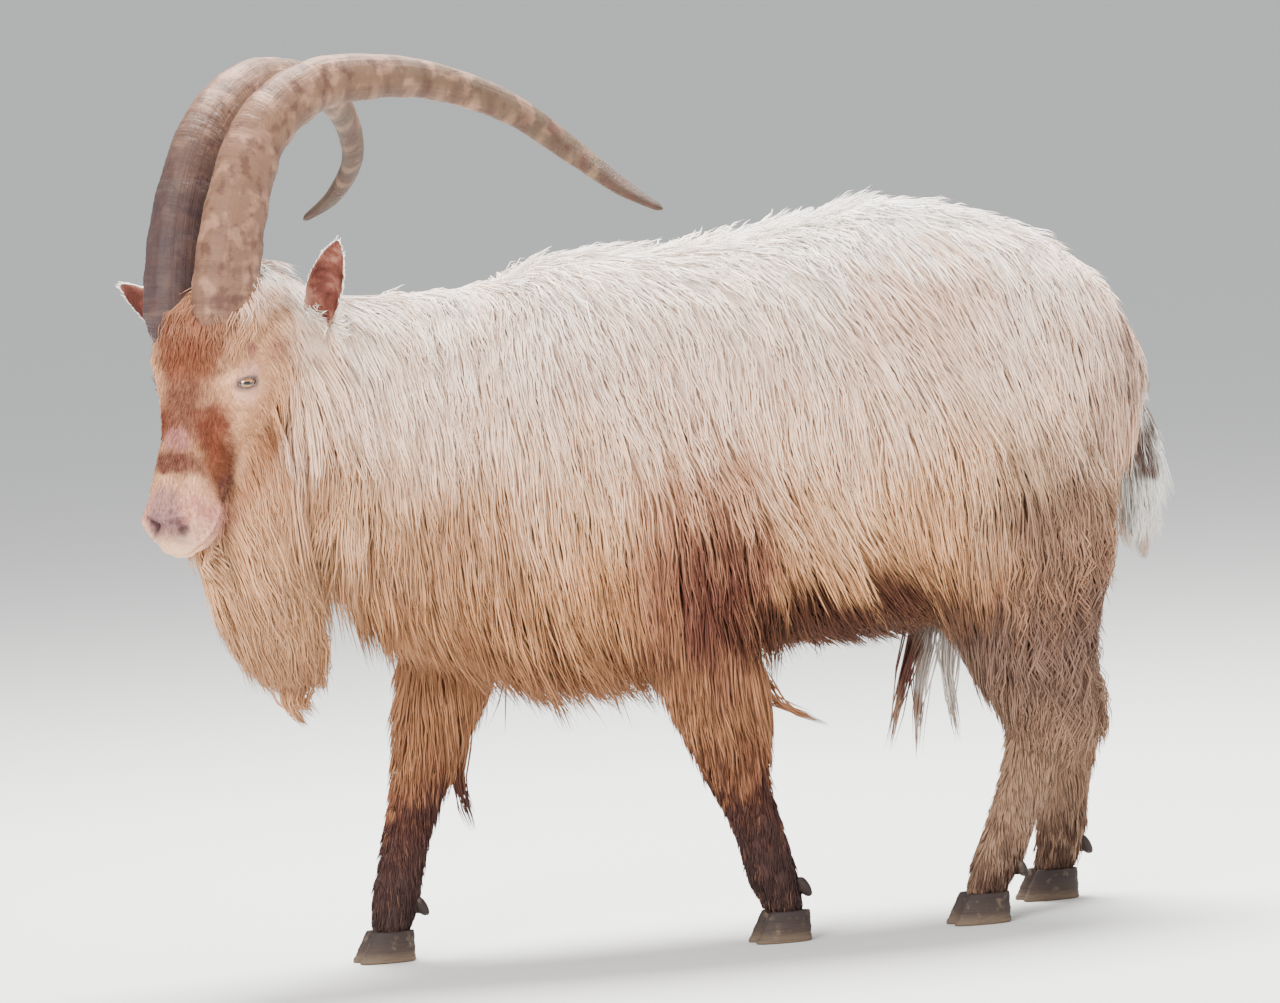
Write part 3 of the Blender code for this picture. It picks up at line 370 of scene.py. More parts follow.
def leg_place(points, rows, side):
    z = np.clip(points[:, 2], rows[0][0], rows[-1][0])
    x, y, long_half, wide_half = eased(rows, z)
    along, across = (points[:, 0] - x) / long_half, (points[:, 1] - side * y) / wide_half
    far = np.where(points[:, 2] > rows[-1][0], FAR_OFF, np.hypot(along, across))
    return z, np.arctan2(across, along), far


def beard_line(z):
    """Middle of the beard at a height, and its half length and half width out to the tips."""
    back, long_half, wide_half = eased(BEARD, z)
    return POLL * (1, 1, 0) - np.outer(back, FORWARD) + np.outer(z, UP), long_half, wide_half


def beard_point(z, angle):
    middle, long_half, wide_half = beard_line(z)
    ahead = np.outer(np.cos(angle) * long_half * BEARD_CORE, FORWARD)
    return middle + ahead + np.outer(np.sin(angle) * wide_half * BEARD_CORE, ACROSS_HEAD)


def beard_place(points):
    z = np.clip(points[:, 2], BEARD[0][0], BEARD[-1][0])
    middle, long_half, wide_half = beard_line(z)
    off = points - middle
    ahead = off @ FORWARD / (long_half * BEARD_CORE)
    across = off @ ACROSS_HEAD / (wide_half * BEARD_CORE)
    far = np.where(points[:, 2] > BEARD[-1][0] - 0.02, FAR_OFF, np.hypot(ahead, across))
    return z, np.arctan2(across, ahead), far


def turns(count):
    return np.arange(count) * 2 * math.pi / count


def sections(surface, places, angles):
    """Rows of points of a surface: one section at each place."""
    where, around = np.meshgrid(places, angles, indexing="ij")
    return surface(where.ravel(), around.ravel()).reshape(len(places), len(angles), 3)


def signed_volume(points, triangles):
    a, b, c = (points[triangles[:, corner]] for corner in range(3))
    return (a * np.cross(b, c)).sum() / 6


def closed_tube(rings):
    """Points and triangles of a closed surface through rings of points, with a fan over each end."""
    count, sides = rings.shape[:2]
    points = np.vstack([rings.reshape(-1, 3), rings[0].mean(0), rings[-1].mean(0)])
    here = np.arange(sides)
    after = (here + 1) % sides
    faces = []
    for row in range(0, (count - 1) * sides, sides):
        a, b, c, d = row + here, row + after, row + sides + after, row + sides + here
        faces += [np.stack([a, b, c], 1), np.stack([a, c, d], 1)]
    faces.append(np.stack([after, here, here * 0 + count * sides], 1))
    last = (count - 1) * sides
    faces.append(np.stack([last + here, last + after, here * 0 + count * sides + 1], 1))
    triangles = np.vstack(faces)
    if signed_volume(points, triangles) < 0:
        triangles = triangles[:, ::-1]
    return points, triangles


def mesh_object(name, points, faces):
    """An object at the origin from points over the working point, set where the frame is."""
    mesh = bpy.data.meshes.new(name)
    mesh.from_pydata((points + SHIFT).tolist(), [], faces.tolist())
    mesh.polygons.foreach_set("use_smooth", [True] * len(mesh.polygons))
    made = bpy.data.objects.new(name, mesh)
    bpy.context.scene.collection.objects.link(made)
    return made


def joined(name, shells):
    """Several closed shells in one object."""
    points, faces, start = [], [], 0
    for shell_points, shell_faces in shells:
        points.append(shell_points)
        faces.append(shell_faces + start)
        start += len(shell_points)
    return mesh_object(name, np.vstack(points), np.vstack(faces))


def settle(target):
    """Applies an object's modifiers to its mesh."""
    graph = bpy.context.evaluated_depsgraph_get()
    made = bpy.data.meshes.new_from_object(target.evaluated_get(graph))
    target.modifiers.clear()
    old = target.data
    target.data = made
    bpy.data.meshes.remove(old)


shells = [
    closed_tube(sections(trunk_point, np.linspace(TRUNK[0][0], TRUNK[-1][0], 40), turns(56))),
    closed_tube(sections(neck_point, np.linspace(0, 1, 16), turns(48))),
    closed_tube(sections(beard_point, np.linspace(BEARD[0][0] + BEARD_TIP, BEARD[-1][0], 16), turns(32))),
]
for name, rows in LEGS.items():
    side, heights = side_of(name), np.linspace(rows[0][0], rows[-1][0], 40)
    shells.append(closed_tube(sections(lambda z, a: leg_point(rows, side, z, a), heights, turns(32))))


def tail_point(z, angle):
    x, deep, wide = eased(TAIL, z)
    return np.stack([x + np.cos(angle) * deep, np.sin(angle) * wide, z], 1)


shells.append(closed_tube(sections(tail_point, np.linspace(TAIL[0][0], TAIL[-1][0], 20), turns(20))))
skin = joined("skin", shells)
melt = skin.modifiers.new("melt", "REMESH")
melt.mode = "VOXEL"
melt.voxel_size = VOXEL
soften = skin.modifiers.new("soften", "SMOOTH")
soften.factor = 0.5
soften.iterations = 7
settle(skin)

# Head: face, lids, nostrils, lips and chin, still part of the skin
# A long goat's face of bone under thin skin. It is a fine net over a table of sections, pushed in and out
# where the brow, cheek, lids, nose and the line of the mouth are, and then joined to the rest of the skin.
# Head by station along the face: top, bottom, half width
HEAD = (
    (-0.055, -0.045, -0.090, 0.030),
    (-0.035, -0.018, -0.118, 0.052),
    (0.010, 0.004, -0.142, 0.064),
    (0.060, 0.010, -0.148, 0.066),
    (0.105, 0.002, -0.138, 0.060),
    (0.155, -0.014, -0.122, 0.048),
    (0.205, -0.026, -0.115, 0.041),
    (0.250, -0.033, -0.117, 0.039),
    (0.278, -0.043, -0.112, 0.034),
    (0.293, -0.060, -0.100, 0.021),
)
# Bones and soft parts: station, degrees from the forehead, how far out, how long and how many degrees wide
FACE_FORMS = (
    (0.080, 50, 0.009, 0.020, 16),
    (0.046, 0, 0.013, 0.036, 34),
    (0.014, 44, 0.013, 0.030, 26),
    (0.128, 86, 0.005, 0.034, 16),
    (0.070, 110, 0.005, 0.036, 22),
    (0.165, 52, -0.005, 0.030, 18),
    (0.160, 112, -0.004, 0.026, 20),
    (0.274, 62, 0.007, 0.014, 24),
    (0.258, 98, 0.005, 0.022, 20),
    (0.240, 172, 0.006, 0.018, 34),
    (0.222, 124, -0.004, 0.018, 14),
    (0.262, 150, 0.003, 0.016, 22),
)
NOSTRIL = np.array([0.2800, 0.0210, -0.0520])
NOSTRIL_TURN = math.radians(38)
FACE_ROWS = 200
HALF_FACE_SIDES = 96
# How far the nose is rounded off past the last station
NOSE_END = 0.008
MOUTH_HEIGHT = -0.088
MOUTH_CORNER = 0.196
LID_THICKNESS = 0.0022
OPENING = np.array([0.0124, 0.0064])
LOWER_OPENING = OPENING[1] * 0.85
EYE_TILT = math.radians(10)
GAZE = math.radians(32)
BALL_RADIUS = 0.0145
BALL_DEPTH = 0.0045


def head_sizes(station):
    top, bottom, half = eased(HEAD, station)
    return top, bottom, half, bottom + (top - bottom) * 0.55


def head_point(station, angle):
    """A point of the bare head in its own axes, before the small forms. Angle 0 is the forehead."""
    top, bottom, half, middle = head_sizes(np.minimum(station, HEAD[-1][0]))
    degrees = np.degrees(np.abs((angle + math.pi) % (2 * math.pi) - math.pi))
    extra = 0 * station
    for place, around, rise, length, width in FACE_FORMS:
        off = ((station - place) / length) ** 2
        extra = extra + rise * np.exp(-off - ((degrees - around) / width) ** 2)
    close = np.cos(np.clip((station - HEAD[-1][0]) / NOSE_END, 0, 1) * math.pi / 2) ** 0.6
    side, rise = rounded(angle)
    reach = np.where(rise > 0, top - middle, middle - bottom) + extra
    return np.stack([station, side * (half + extra) * close, middle + rise * reach * close], 1)


def head_place(points):
    local = to_head(points)
    station = np.clip(local[:, 0], HEAD[0][0], HEAD[-1][0])
    top, bottom, half, middle = head_sizes(station)
    reach = np.where(local[:, 2] > middle, top - middle, middle - bottom)
    angle, far = unrounded(local[:, 1] / half, (local[:, 2] - middle) / reach)
    return station, angle, np.where(local[:, 0] < HEAD[0][0] + 0.01, FAR_OFF, far)


def crowded(first, last, count, peaks):
    """Places from first to last, closer together near the peaks: middle, width, how many times closer."""
    fine = np.linspace(first, last, 2000)
    weight = 1 + sum(more * np.exp(-(((fine - middle) / width) ** 2)) for middle, width, more in peaks)
    steps = np.concatenate([[0], np.cumsum((weight[1:] + weight[:-1]) / 2)])
    return np.interp(np.linspace(0, steps[-1], count), steps, fine)


def eye_frame(side):
    """Middle of an eyeball in the head's axes, and which way is towards the nose, up and out for it."""
    mirror = np.array([1, -side, 1])
    ahead = np.array([math.cos(FACE_SLOPE), 0, math.sin(FACE_SLOPE)])
    out = ahead * math.sin(GAZE) + np.array([0, 1, 0]) * math.cos(GAZE)
    nose = ahead * math.cos(GAZE) - np.array([0, 1, 0]) * math.sin(GAZE)
    up = np.array([-math.sin(FACE_SLOPE), 0, math.cos(FACE_SLOPE)])
    tilted_nose = nose * math.cos(EYE_TILT) - up * math.sin(EYE_TILT)
    tilted_up = up * math.cos(EYE_TILT) + nose * math.sin(EYE_TILT)
    return (EYE - out * BALL_DEPTH) * mirror, tilted_nose * mirror, tilted_up * mirror, out * mirror


def eye_plane(points, side):
    """Where points lie on the eye's face, along and across its opening, and how far out from its middle."""
    middle, nose, up, out = eye_frame(side)
    off = points - middle
    return off @ nose, off @ up, off @ out


def smooth_step(value, low, high):
    share = np.clip((value - low) / (high - low), 0, 1)
    return share * share * (3 - 2 * share)


def carve_lids(points, side):
    """Raises the socket round the eye, lays both lids over its ball and opens them."""
    middle, nose, up, outwards = eye_frame(side)
    along, across, out = eye_plane(points, side)
    beyond = np.hypot(along, across)
    lid = BALL_RADIUS + LID_THICKNESS
    # The socket stands out round the ball, most over the brow, and the lids' dome is melted into it
    outer = out > -0.024
    brow = smooth_step(across, -0.004, 0.014)
    mound = out + np.where(outer, (0.0040 + 0.0035 * brow) * np.exp(-((beyond / 0.024) ** 2)), 0)
    dome = np.sqrt(np.maximum(lid**2 - beyond**2, 0)) - np.where(beyond < lid, 0, 1)
    soft = np.clip(0.5 + 0.5 * (dome - mound) / 0.0035, 0, 1)
    height = np.where(outer, mound * (1 - soft) + dome * soft + 0.0035 * soft * (1 - soft), out)
    # Creases over and under the lids
    crease = np.exp(-(((beyond - 0.0128) / 0.0012) ** 2)) * smooth_step(across, 0.001, 0.005)
    crease = crease + 0.7 * np.exp(-(((beyond - 0.0136) / 0.0012) ** 2)) * smooth_step(-across, 0.003, 0.007)
    height = height - np.where(outer, 0.0011 * crease, 0)
    # Between the lids the skin sinks behind the ball
    gape = np.hypot(along / OPENING[0], across / np.where(across > 0, OPENING[1], LOWER_OPENING))
    inside = np.sqrt(np.maximum((BALL_RADIUS - 0.003) ** 2 - beyond**2, 0))
    open_share = (1 - smooth_step(gape, 0.88, 1.04)) * outer
    height = height * (1 - open_share) + inside * open_share
    return points + (height - out)[..., None] * outwards


def carve_face(points, normals):
    """Moves the face's net along its normals: nostrils, lips, the split of the upper lip and folds."""
    station, left, off = points[..., 0], points[..., 1], points[..., 2]
    move = 0 * station
    # Nostrils: slanting bowed slits with a raised rim
    lean_in, lean_out = math.sin(NOSTRIL_TURN), math.cos(NOSTRIL_TURN)
    for side in (LEFT, RIGHT):
        away = points - NOSTRIL * (1, -side, 1)
        length = away[..., 0] * lean_out - away[..., 2] * lean_in
        width = away[..., 2] * lean_out + away[..., 0] * lean_in
        bow = width - 0.0030 + 40 * length**2
        far = np.hypot(length / 0.0105, bow / 0.0042)
        close = np.exp(-((away[..., 1] / 0.016) ** 2))
        move = move - 0.0120 * np.exp(-(far**2) * 1.2) * close
        move = move + 0.0022 * np.exp(-(((far - 1.7) / 0.55) ** 2)) * close
    # The mouth's line, which rises to its corner, and the lips above and below it
    lift = 0.006 * (np.maximum(0, 0.215 - station) / 0.02) ** 1.5
    line = off - (MOUTH_HEIGHT + np.minimum(lift, 0.012))
    on_mouth = smooth_step(station, MOUTH_CORNER - 0.006, MOUTH_CORNER + 0.006)
    move = move - 0.0042 * np.exp(-((line / 0.0017) ** 2)) * on_mouth
    move = move + 0.0018 * np.exp(-(((line - 0.0062) / 0.0036) ** 2)) * on_mouth
    move = move + 0.0016 * np.exp(-(((line + 0.0060) / 0.0034) ** 2)) * on_mouth
    # The split of the upper lip, and fine folds over the nose
    front = smooth_step(station, 0.280, 0.290) * smooth_step(line, -0.002, 0.003)
    front = front * smooth_step(-off, 0.058, 0.064)
    move = move - 0.0018 * np.exp(-((left / 0.0013) ** 2)) * front
    folds = np.sin(station * 900 + 3 * np.sin(off * 160)) * smooth_step(station, 0.235, 0.262)
    move = move + 0.00022 * folds * np.exp(-(((off + 0.070) / 0.022) ** 2))
    return points + normals * move[..., None]


eye_stretch, nose_stretch = (EYE[0], 0.024, 1.6), (0.286, 0.022, 2.2)
stations = crowded(HEAD[0][0], HEAD[-1][0] + NOSE_END, FACE_ROWS, (eye_stretch, nose_stretch))
eye_belt = (math.radians(78), math.radians(22), 1.2)
mouth_belt = (math.radians(112), math.radians(16), 0.8)
half_turn = crowded(0, math.pi, HALF_FACE_SIDES, (eye_belt, mouth_belt))
angles = np.concatenate([half_turn, 2 * math.pi - half_turn[-2:0:-1]])
net = sections(head_point, stations[:-1], angles)
across_net = np.roll(net, -1, axis=1) - np.roll(net, 1, axis=1)
normals = np.cross(across_net, np.gradient(net, axis=0))
normals /= np.linalg.norm(normals, axis=2, keepdims=True) + 1e-12
outward = net - np.stack([net[..., 0], 0 * net[..., 0], 0 * net[..., 0] - 0.07], 2)
normals *= np.sign((normals * outward).sum(2).mean())
net = carve_face(net, normals)
for side in (LEFT, RIGHT):
    net = np.where(net[:, :, 1:2] * -side > 0, carve_lids(net, side), net)
head_points, head_faces = closed_tube(net)
face = mesh_object("face", from_head(head_points), head_faces)
if signed_volume(from_head(head_points), head_faces) < 0:
    face.data.flip_normals()

# Ears, still part of the skin
# Each ear is a leaf of gristle rolled into a cup. The near one stands up and shows its dark inside, the far
# one sticks out sideways. Root and tip are measured from the poll: backwards, outwards and upwards.
EARS = {
    LEFT: ((0.098, 0.078, -0.050), (0.064, 0.142, 0.052)),
    RIGHT: ((0.066, 0.066, -0.052), (0.036, 0.158, 0.008)),
}
# Leaf of the ear: place along it, half width, how far it curls
EAR_LEAF = (
    (0.00, 0.0140, 0.95),
    (0.12, 0.0165, 0.95),
    (0.35, 0.0210, 0.85),
    (0.60, 0.0205, 0.75),
    (0.85, 0.0125, 0.60),
    (1.00, 0.0030, 0.40),
)
EAR_WALL = 0.0020
EAR_ROOT_DEPTH = 0.16
EAR_ROWS = 44
EAR_STEPS = 19


def ear_axes(side):
    """Root, tip, the way the cup opens and the way across it."""
    outward = ACROSS_HEAD * -side
    near, far = EARS[side]
    root = POLL - FORWARD * near[0] + outward * near[1] + UP * near[2]
    tip = POLL - FORWARD * far[0] + outward * far[1] + UP * far[2]
    run = (tip - root) / np.linalg.norm(tip - root)
    opening = FORWARD * 0.9 + outward * 0.35
    opening = opening - run * (opening @ run)
    opening /= np.linalg.norm(opening)
    return root, tip, opening, np.cross(run, opening)


def grow_into_skin(name, part):
    """Joins a closed shape to the skin and removes the shape."""
    join = skin.modifiers.new(name, "BOOLEAN")
    join.operation = "UNION"
    join.solver = "MANIFOLD"
    join.object = part
    settle(skin)
    bpy.data.objects.remove(part, do_unlink=True)


for side in (LEFT, RIGHT):
    root, tip, opening, across = ear_axes(side)
    places = np.linspace(-EAR_ROOT_DEPTH, 1, EAR_ROWS)
    half, curl = eased(EAR_LEAF, places)
    steps = np.linspace(-1, 1, EAR_STEPS)
    rings = []
    for place, wide, roll in zip(places, half, curl):
        lean = steps * math.pi * 0.55 * (0.6 + 0.4 * roll)
        way = np.outer(np.sin(lean), across) - np.outer(np.cos(lean) * roll, opening)
        rim = 1 - 0.5 * np.abs(steps) ** 3
        middle = root + (tip - root) * place + opening * wide * 0.4
        inner = np.maximum(wide - EAR_WALL * 2 * rim, wide * 0.3)
        rings.append(np.vstack([middle + way * wide, (middle + way * inner[:, None])[::-1]]))
    grow_into_skin("ear", mesh_object("ear", *closed_tube(np.array(rings))))
grow_into_skin("head", face)

# Only the outer surface is kept, in triangles
shape = bmesh.new()
shape.from_mesh(skin.data)
bmesh.ops.triangulate(shape, faces=shape.faces)
shape.verts.ensure_lookup_table()
unseen, islands = set(shape.faces), []
while unseen:
    island, rim = [], [unseen.pop()]
    while rim:
        found = rim.pop()
        island.append(found)
        for edge in found.edges:
            for other in edge.link_faces:
                if other in unseen:
                    unseen.discard(other)
                    rim.append(other)
    islands.append(island)
islands.sort(key=len)
bmesh.ops.delete(shape, geom=[item for island in islands[:-1] for item in island], context="FACES")
shape.to_mesh(skin.data)
shape.free()
FLESH_NODES = ["neck", "torso_front", "torso_middle", "torso_rear", "head", "beard", "tail"]
FLESH_NODES += ["ear_left", "ear_right", *(f"{leg}_{part}" for leg in LEGS for part in ("upper", "lower"))]
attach(skin, "root")
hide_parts(*FLESH_NODES)

# How the coat lies
# A live coat: long straight hair that falls from the spine, the neck and the thighs, and short flat hair on
# the face, ears and lower legs. Every point of the skin gets a length, depth, width, curl, share and lie.


def numbers(items, title, columns, kind=float):
    """One property of all items of a mesh, as rows of numbers."""
    values = np.empty(len(items) * columns, kind)
    items.foreach_get(title, values)
    return values.reshape(-1, columns)


SKIN = numbers(skin.data.vertices, "co", 3) - SHIFT
SKIN_OUT = numbers(skin.data.vertex_normals, "vector", 3)
SKIN_FACES = numbers(skin.data.polygons, "vertices", 3, int)
EDGES = numbers(skin.data.edges, "vertices", 2, int)


def unit(vectors):
    return vectors / (np.linalg.norm(vectors, axis=-1, keepdims=True) + 1e-9)


TAIL_ROOT = 0.665


def tail_place(points):
    z = np.clip(points[:, 2], TAIL[0][0], TAIL[-1][0])
    x, deep, wide = eased(TAIL, z)
    along, across = (points[:, 0] - x) / deep, points[:, 1] / wide
    far = np.where(points[:, 2] > TAIL_ROOT, FAR_OFF, np.hypot(along, across))
    return z, np.arctan2(across, along), far


def ear_place(points, side):
    root, tip, opening, across = ear_axes(side)
    run = tip - root
    along = (points - root) @ run / (run @ run)
    off = points - root - np.outer(along, run)
    half, roll = eased(EAR_LEAF, np.clip(along, 0, 1))
    far = np.linalg.norm(off, axis=1) / (half * 1.4)
    inside = (along > 0.10) & (along < 1.1) & (far < 1)
    return along, np.arctan2(off @ across, off @ opening), np.where(inside, far * 0.01, FAR_OFF)


PLACES = {"trunk": trunk_place, "neck": neck_place, "head": head_place}
PLACES |= {"beard": beard_place, "tail": tail_place}
for name, rows in LEGS.items():
    PLACES[name] = lambda points, rows=rows, side=side_of(name): leg_place(points, rows, side)
PLACES["ear_left"] = lambda points: ear_place(points, LEFT)
PLACES["ear_right"] = lambda points: ear_place(points, RIGHT)
PARTS = list(PLACES)
placed = {part: PLACES[part](SKIN) for part in PARTS}
OWNER = np.argmin([placed[part][2] for part in PARTS], axis=0)
# Length, depth, width, curl, share, then the three parts of the lie
FIELDS = np.zeros((len(SKIN), 8))


def comb(part, length, depth, width, curl, share, lie):
    """Writes the coat of one part onto the skin that belongs to it."""
    mine = OWNER == PARTS.index(part)
    given = [length, depth, width, curl, share, *lie]
    FIELDS[mine] = np.stack([np.broadcast_to(item, mine.shape)[mine] for item in given], 1)


def depth_round(angle, over, under, beside, level):
    """The coat's depth outside the skin at an angle, from its depth above, below and beside."""
    above, below = np.maximum(np.cos(angle), 0) ** 2, np.maximum(-np.cos(angle), 0) ** 2
    return (over * above + under * below + beside * (1 - above - below)) * (1 - level)


x, angle, _ = placed["trunk"]
turned = np.degrees(np.abs(angle))
top, bottom, half, over, under, beside = eased(TRUNK, x)
depth = depth_round(angle, over, under, beside, TRUNK_LEVEL)
longest = np.interp(turned, [0, 30, 60, 90, 120, 180], [0.065, 0.085, 0.105, 0.130, 0.165, 0.150])
room = np.maximum(SKIN[:, 2] - bottom + under, 0.05)
sweep = np.interp(x, [-0.35, -0.18, 0.0, 0.2, 0.45, 0.6], [0.08, 0.12, 0.26, 0.42, 0.38, 0.25])
sweep = sweep + np.interp(turned, [0, 45, 120, 160], [0.35, 0, 0, 0.45])
aside = np.interp(turned, [0, 6, 40, 90], [0.10, 0.75, 0.45, 0.05]) * np.sign(angle)
fall = np.interp(turned, [0, 30, 60], [0.15, 0.6, 1.0])
ahead = np.interp(x, [-0.25, -0.05], [0.030, 0.0])
length = np.minimum(longest + ahead, room * 1.05 + ahead)
comb("trunk", length, depth, 0.0022, 0.0030, 1.0, (sweep, aside, -fall))

place, angle, _ = placed["neck"]
middle, across, tall, wide, over, under, beside = neck_axes(np.clip(place, 0, 1))
turned = np.degrees(np.abs(angle))
depth = depth_round(angle, over, under, beside, NECK_LEVEL)
longest = np.interp(turned, [0, 40, 90, 140, 180], [0.075, 0.100, 0.140, 0.195, 0.200])
room = np.maximum(SKIN[:, 2] - (middle[:, 2] - tall - under), 0.05)
sweep = np.interp(turned, [0, 50, 130, 180], [0.40, 0.14, 0.06, 0.12])
aside = np.interp(turned, [0, 8, 40, 90], [0.10, 0.70, 0.35, 0.03]) * np.sign(SKIN[:, 1] - middle[:, 1])
fall = np.interp(turned, [0, 30, 60], [0.25, 0.7, 1.0])
comb("neck", np.minimum(longest, room * 1.05 + 0.045), depth, 0.0022, 0.0032, 1.0, (sweep, aside, -fall))

for name in LEGS:
    z, angle, _ = placed[name]
    behind = np.cos(angle)
    if name.startswith("fore"):
        heights = [0.034, 0.06, 0.12, 0.16, 0.20, 0.25, 0.33, 0.42, 0.50]
        length = np.interp(z, heights, [0.016, 0.026, 0.022, 0.022, 0.036, 0.066, 0.090, 0.100, 0.10])
        lift = np.interp(z, heights, [0.003, 0.004, 0.005, 0.006, 0.011, 0.020, 0.028, 0.028, 0.02])
        curl = 0.0014
    else:
        heights = [0.034, 0.06, 0.12, 0.19, 0.25, 0.30, 0.36, 0.45, 0.60]
        length = np.interp(z, heights, [0.018, 0.028, 0.032, 0.034, 0.060, 0.105, 0.130, 0.125, 0.11])
        lift = np.interp(z, heights, [0.003, 0.006, 0.010, 0.009, 0.018, 0.030, 0.032, 0.024, 0.018])
        curl = np.interp(length * (0.5 + 0.5 * behind), [0.02, 0.09], [0.0016, 0.0100])
    length = length * (1 + 0.22 * behind)
    width = np.interp(length, [0.010, 0.030, 0.080], [0.0014, 0.0018, 0.0026])
    lean = np.interp(length, [0.015, 0.08], [0.02, 0.16]) * (0.2 + behind)
    comb(name, length, lift, width, curl, 1.0, (lean, 0.12 * np.sin(angle), -1.0))

tail_lie = (0.02 + 0.34 * np.cos(placed["tail"][1]), 0.26 * np.sign(SKIN[:, 1]), -1.0)
comb("tail", np.clip(SKIN[:, 2] - 0.420, 0.03, 0.10), 0.036, 0.0018, 0.0030, 1.0, tail_lie)
to_tip = np.maximum(SKIN[:, 2] - 0.332, 0.03)
comb("beard", np.minimum(0.150, to_tip), 0.020, 0.0021, 0.0042, 1.0, -FORWARD * 0.40 - UP)

local = to_head(SKIN)
station, angle, _ = placed["head"]
turned = np.degrees(np.abs(angle))
stops = [-0.05, 0.03, 0.10, 0.20, 0.25, 0.29]
length = np.interp(station, stops, [0.020, 0.016, 0.013, 0.011, 0.008, 0.005])
jaw = smooth_step(turned, 108, 145) * smooth_step(station, 0.235, 0.195)
jaw = np.maximum(jaw, smooth_step(station, 0.060, 0.010) * smooth_step(turned, 60, 85))
jaw = np.maximum(jaw, smooth_step(station, 0.150, 0.085) * smooth_step(turned, 84, 108))
chin = smooth_step(station, 0.280, 0.262) * smooth_step(turned, 138, 158)
jaw = np.maximum(jaw, chin)
length = length + jaw * 0.044 + chin * 0.030
forelock = smooth_step(station, 0.112, 0.030) * smooth_step(turned, 66, 40)
length = length + forelock * 0.036
from_eye, from_nostril = (
    np.minimum(*(np.linalg.norm(local - spot * (1, -side, 1), axis=1) for side in (LEFT, RIGHT)))
    for spot in (EYE, NOSTRIL)
)
length = length * np.interp(from_eye, [0.020, 0.050], [0.55, 1.0])
bare = (from_eye < 0.0205) | (from_nostril < 0.012) | (station > 0.288)
width = np.interp(length, [0.004, 0.012, 0.035], [0.0008, 0.0011, 0.0016])
front = smooth_step(turned, 82, 44) * smooth_step(station, -0.01, 0.05)
back_lie = (front - 0.3 * (1 - front)) * ALONG_FACE[:, None]
back_lie = back_lie + (jaw + 0.6 * (1 - front)) * (-UP * 1.1 - FORWARD * 0.5)[:, None]
back_lie = back_lie + forelock * ALONG_FACE[:, None] + HEAD_LEFT[:, None] * np.sign(local[:, 1]) * 0.25
curl = 0.0006 + forelock * 0.0044 + jaw * 0.0016
depth = length * (0.16 + 0.22 * forelock + 0.16 * jaw)
comb("head", length, depth, width, curl, np.where(bare, 0, 1.0 + 0.9 * forelock), back_lie)

for part, side in (("ear_left", LEFT), ("ear_right", RIGHT)):
    root, tip, opening, across = ear_axes(side)
    inner = smooth_step((SKIN_OUT * opening).sum(1), -0.1, 0.3)
    fringed = np.where(inner > 0.45, 0.0, 1.0)
    comb(part, 0.009 + 0.007 * inner, 0.0015, 0.0012, 0.0006, fringed, unit(tip - root + opening * 0.02))

# The cups of the ears are bare, whatever part a point belongs to
for side in (LEFT, RIGHT):
    root, tip, opening, across = ear_axes(side)
    along = (SKIN - root) @ (tip - root) / ((tip - root) @ (tip - root))
    far = np.linalg.norm(SKIN - root - np.outer(along, tip - root), axis=1)
    in_cup = (along > -0.12) & (along < 1.1) & (far < 0.034)
    FIELDS[in_cup & ((SKIN_OUT * opening).sum(1) > 0.0), 4] = 0

# From part to part the coat changes softly: each point takes on what its neighbours have, several times over
SOFTENING = 14
neighbours = np.bincount(EDGES.ravel(), minlength=len(SKIN)) + 1.0
share = FIELDS[:, 4].copy()
ones, others = EDGES.T.ravel(), EDGES[:, ::-1].T.ravel()
FIELDS[:, 5:] = unit(FIELDS[:, 5:])
for _ in range(SOFTENING):
    for column in range(FIELDS.shape[1]):
        around_it = np.bincount(ones, FIELDS[others, column], len(SKIN))
        FIELDS[:, column] = (FIELDS[:, column] + around_it) / neighbours
FIELDS[:, 4] = share
lie = unit(FIELDS[:, 5:] - SKIN_OUT * (FIELDS[:, 5:] * SKIN_OUT).sum(1, keepdims=True))
x, z = SKIN[:, 0], SKIN[:, 2]
wander = 0.17 * np.sin(17 * x + 3 * np.sin(11 * z)) + 0.13 * np.sin(25 * z + 10 * x)
wander = ((wander + 0.08 * np.sin(61 * x + 37 * z)) * smooth_step(FIELDS[:, 0], 0.02, 0.07))[:, None]
FIELDS[:, 5:] = unit(lie * np.cos(wander) + np.cross(SKIN_OUT, lie) * np.sin(wander))
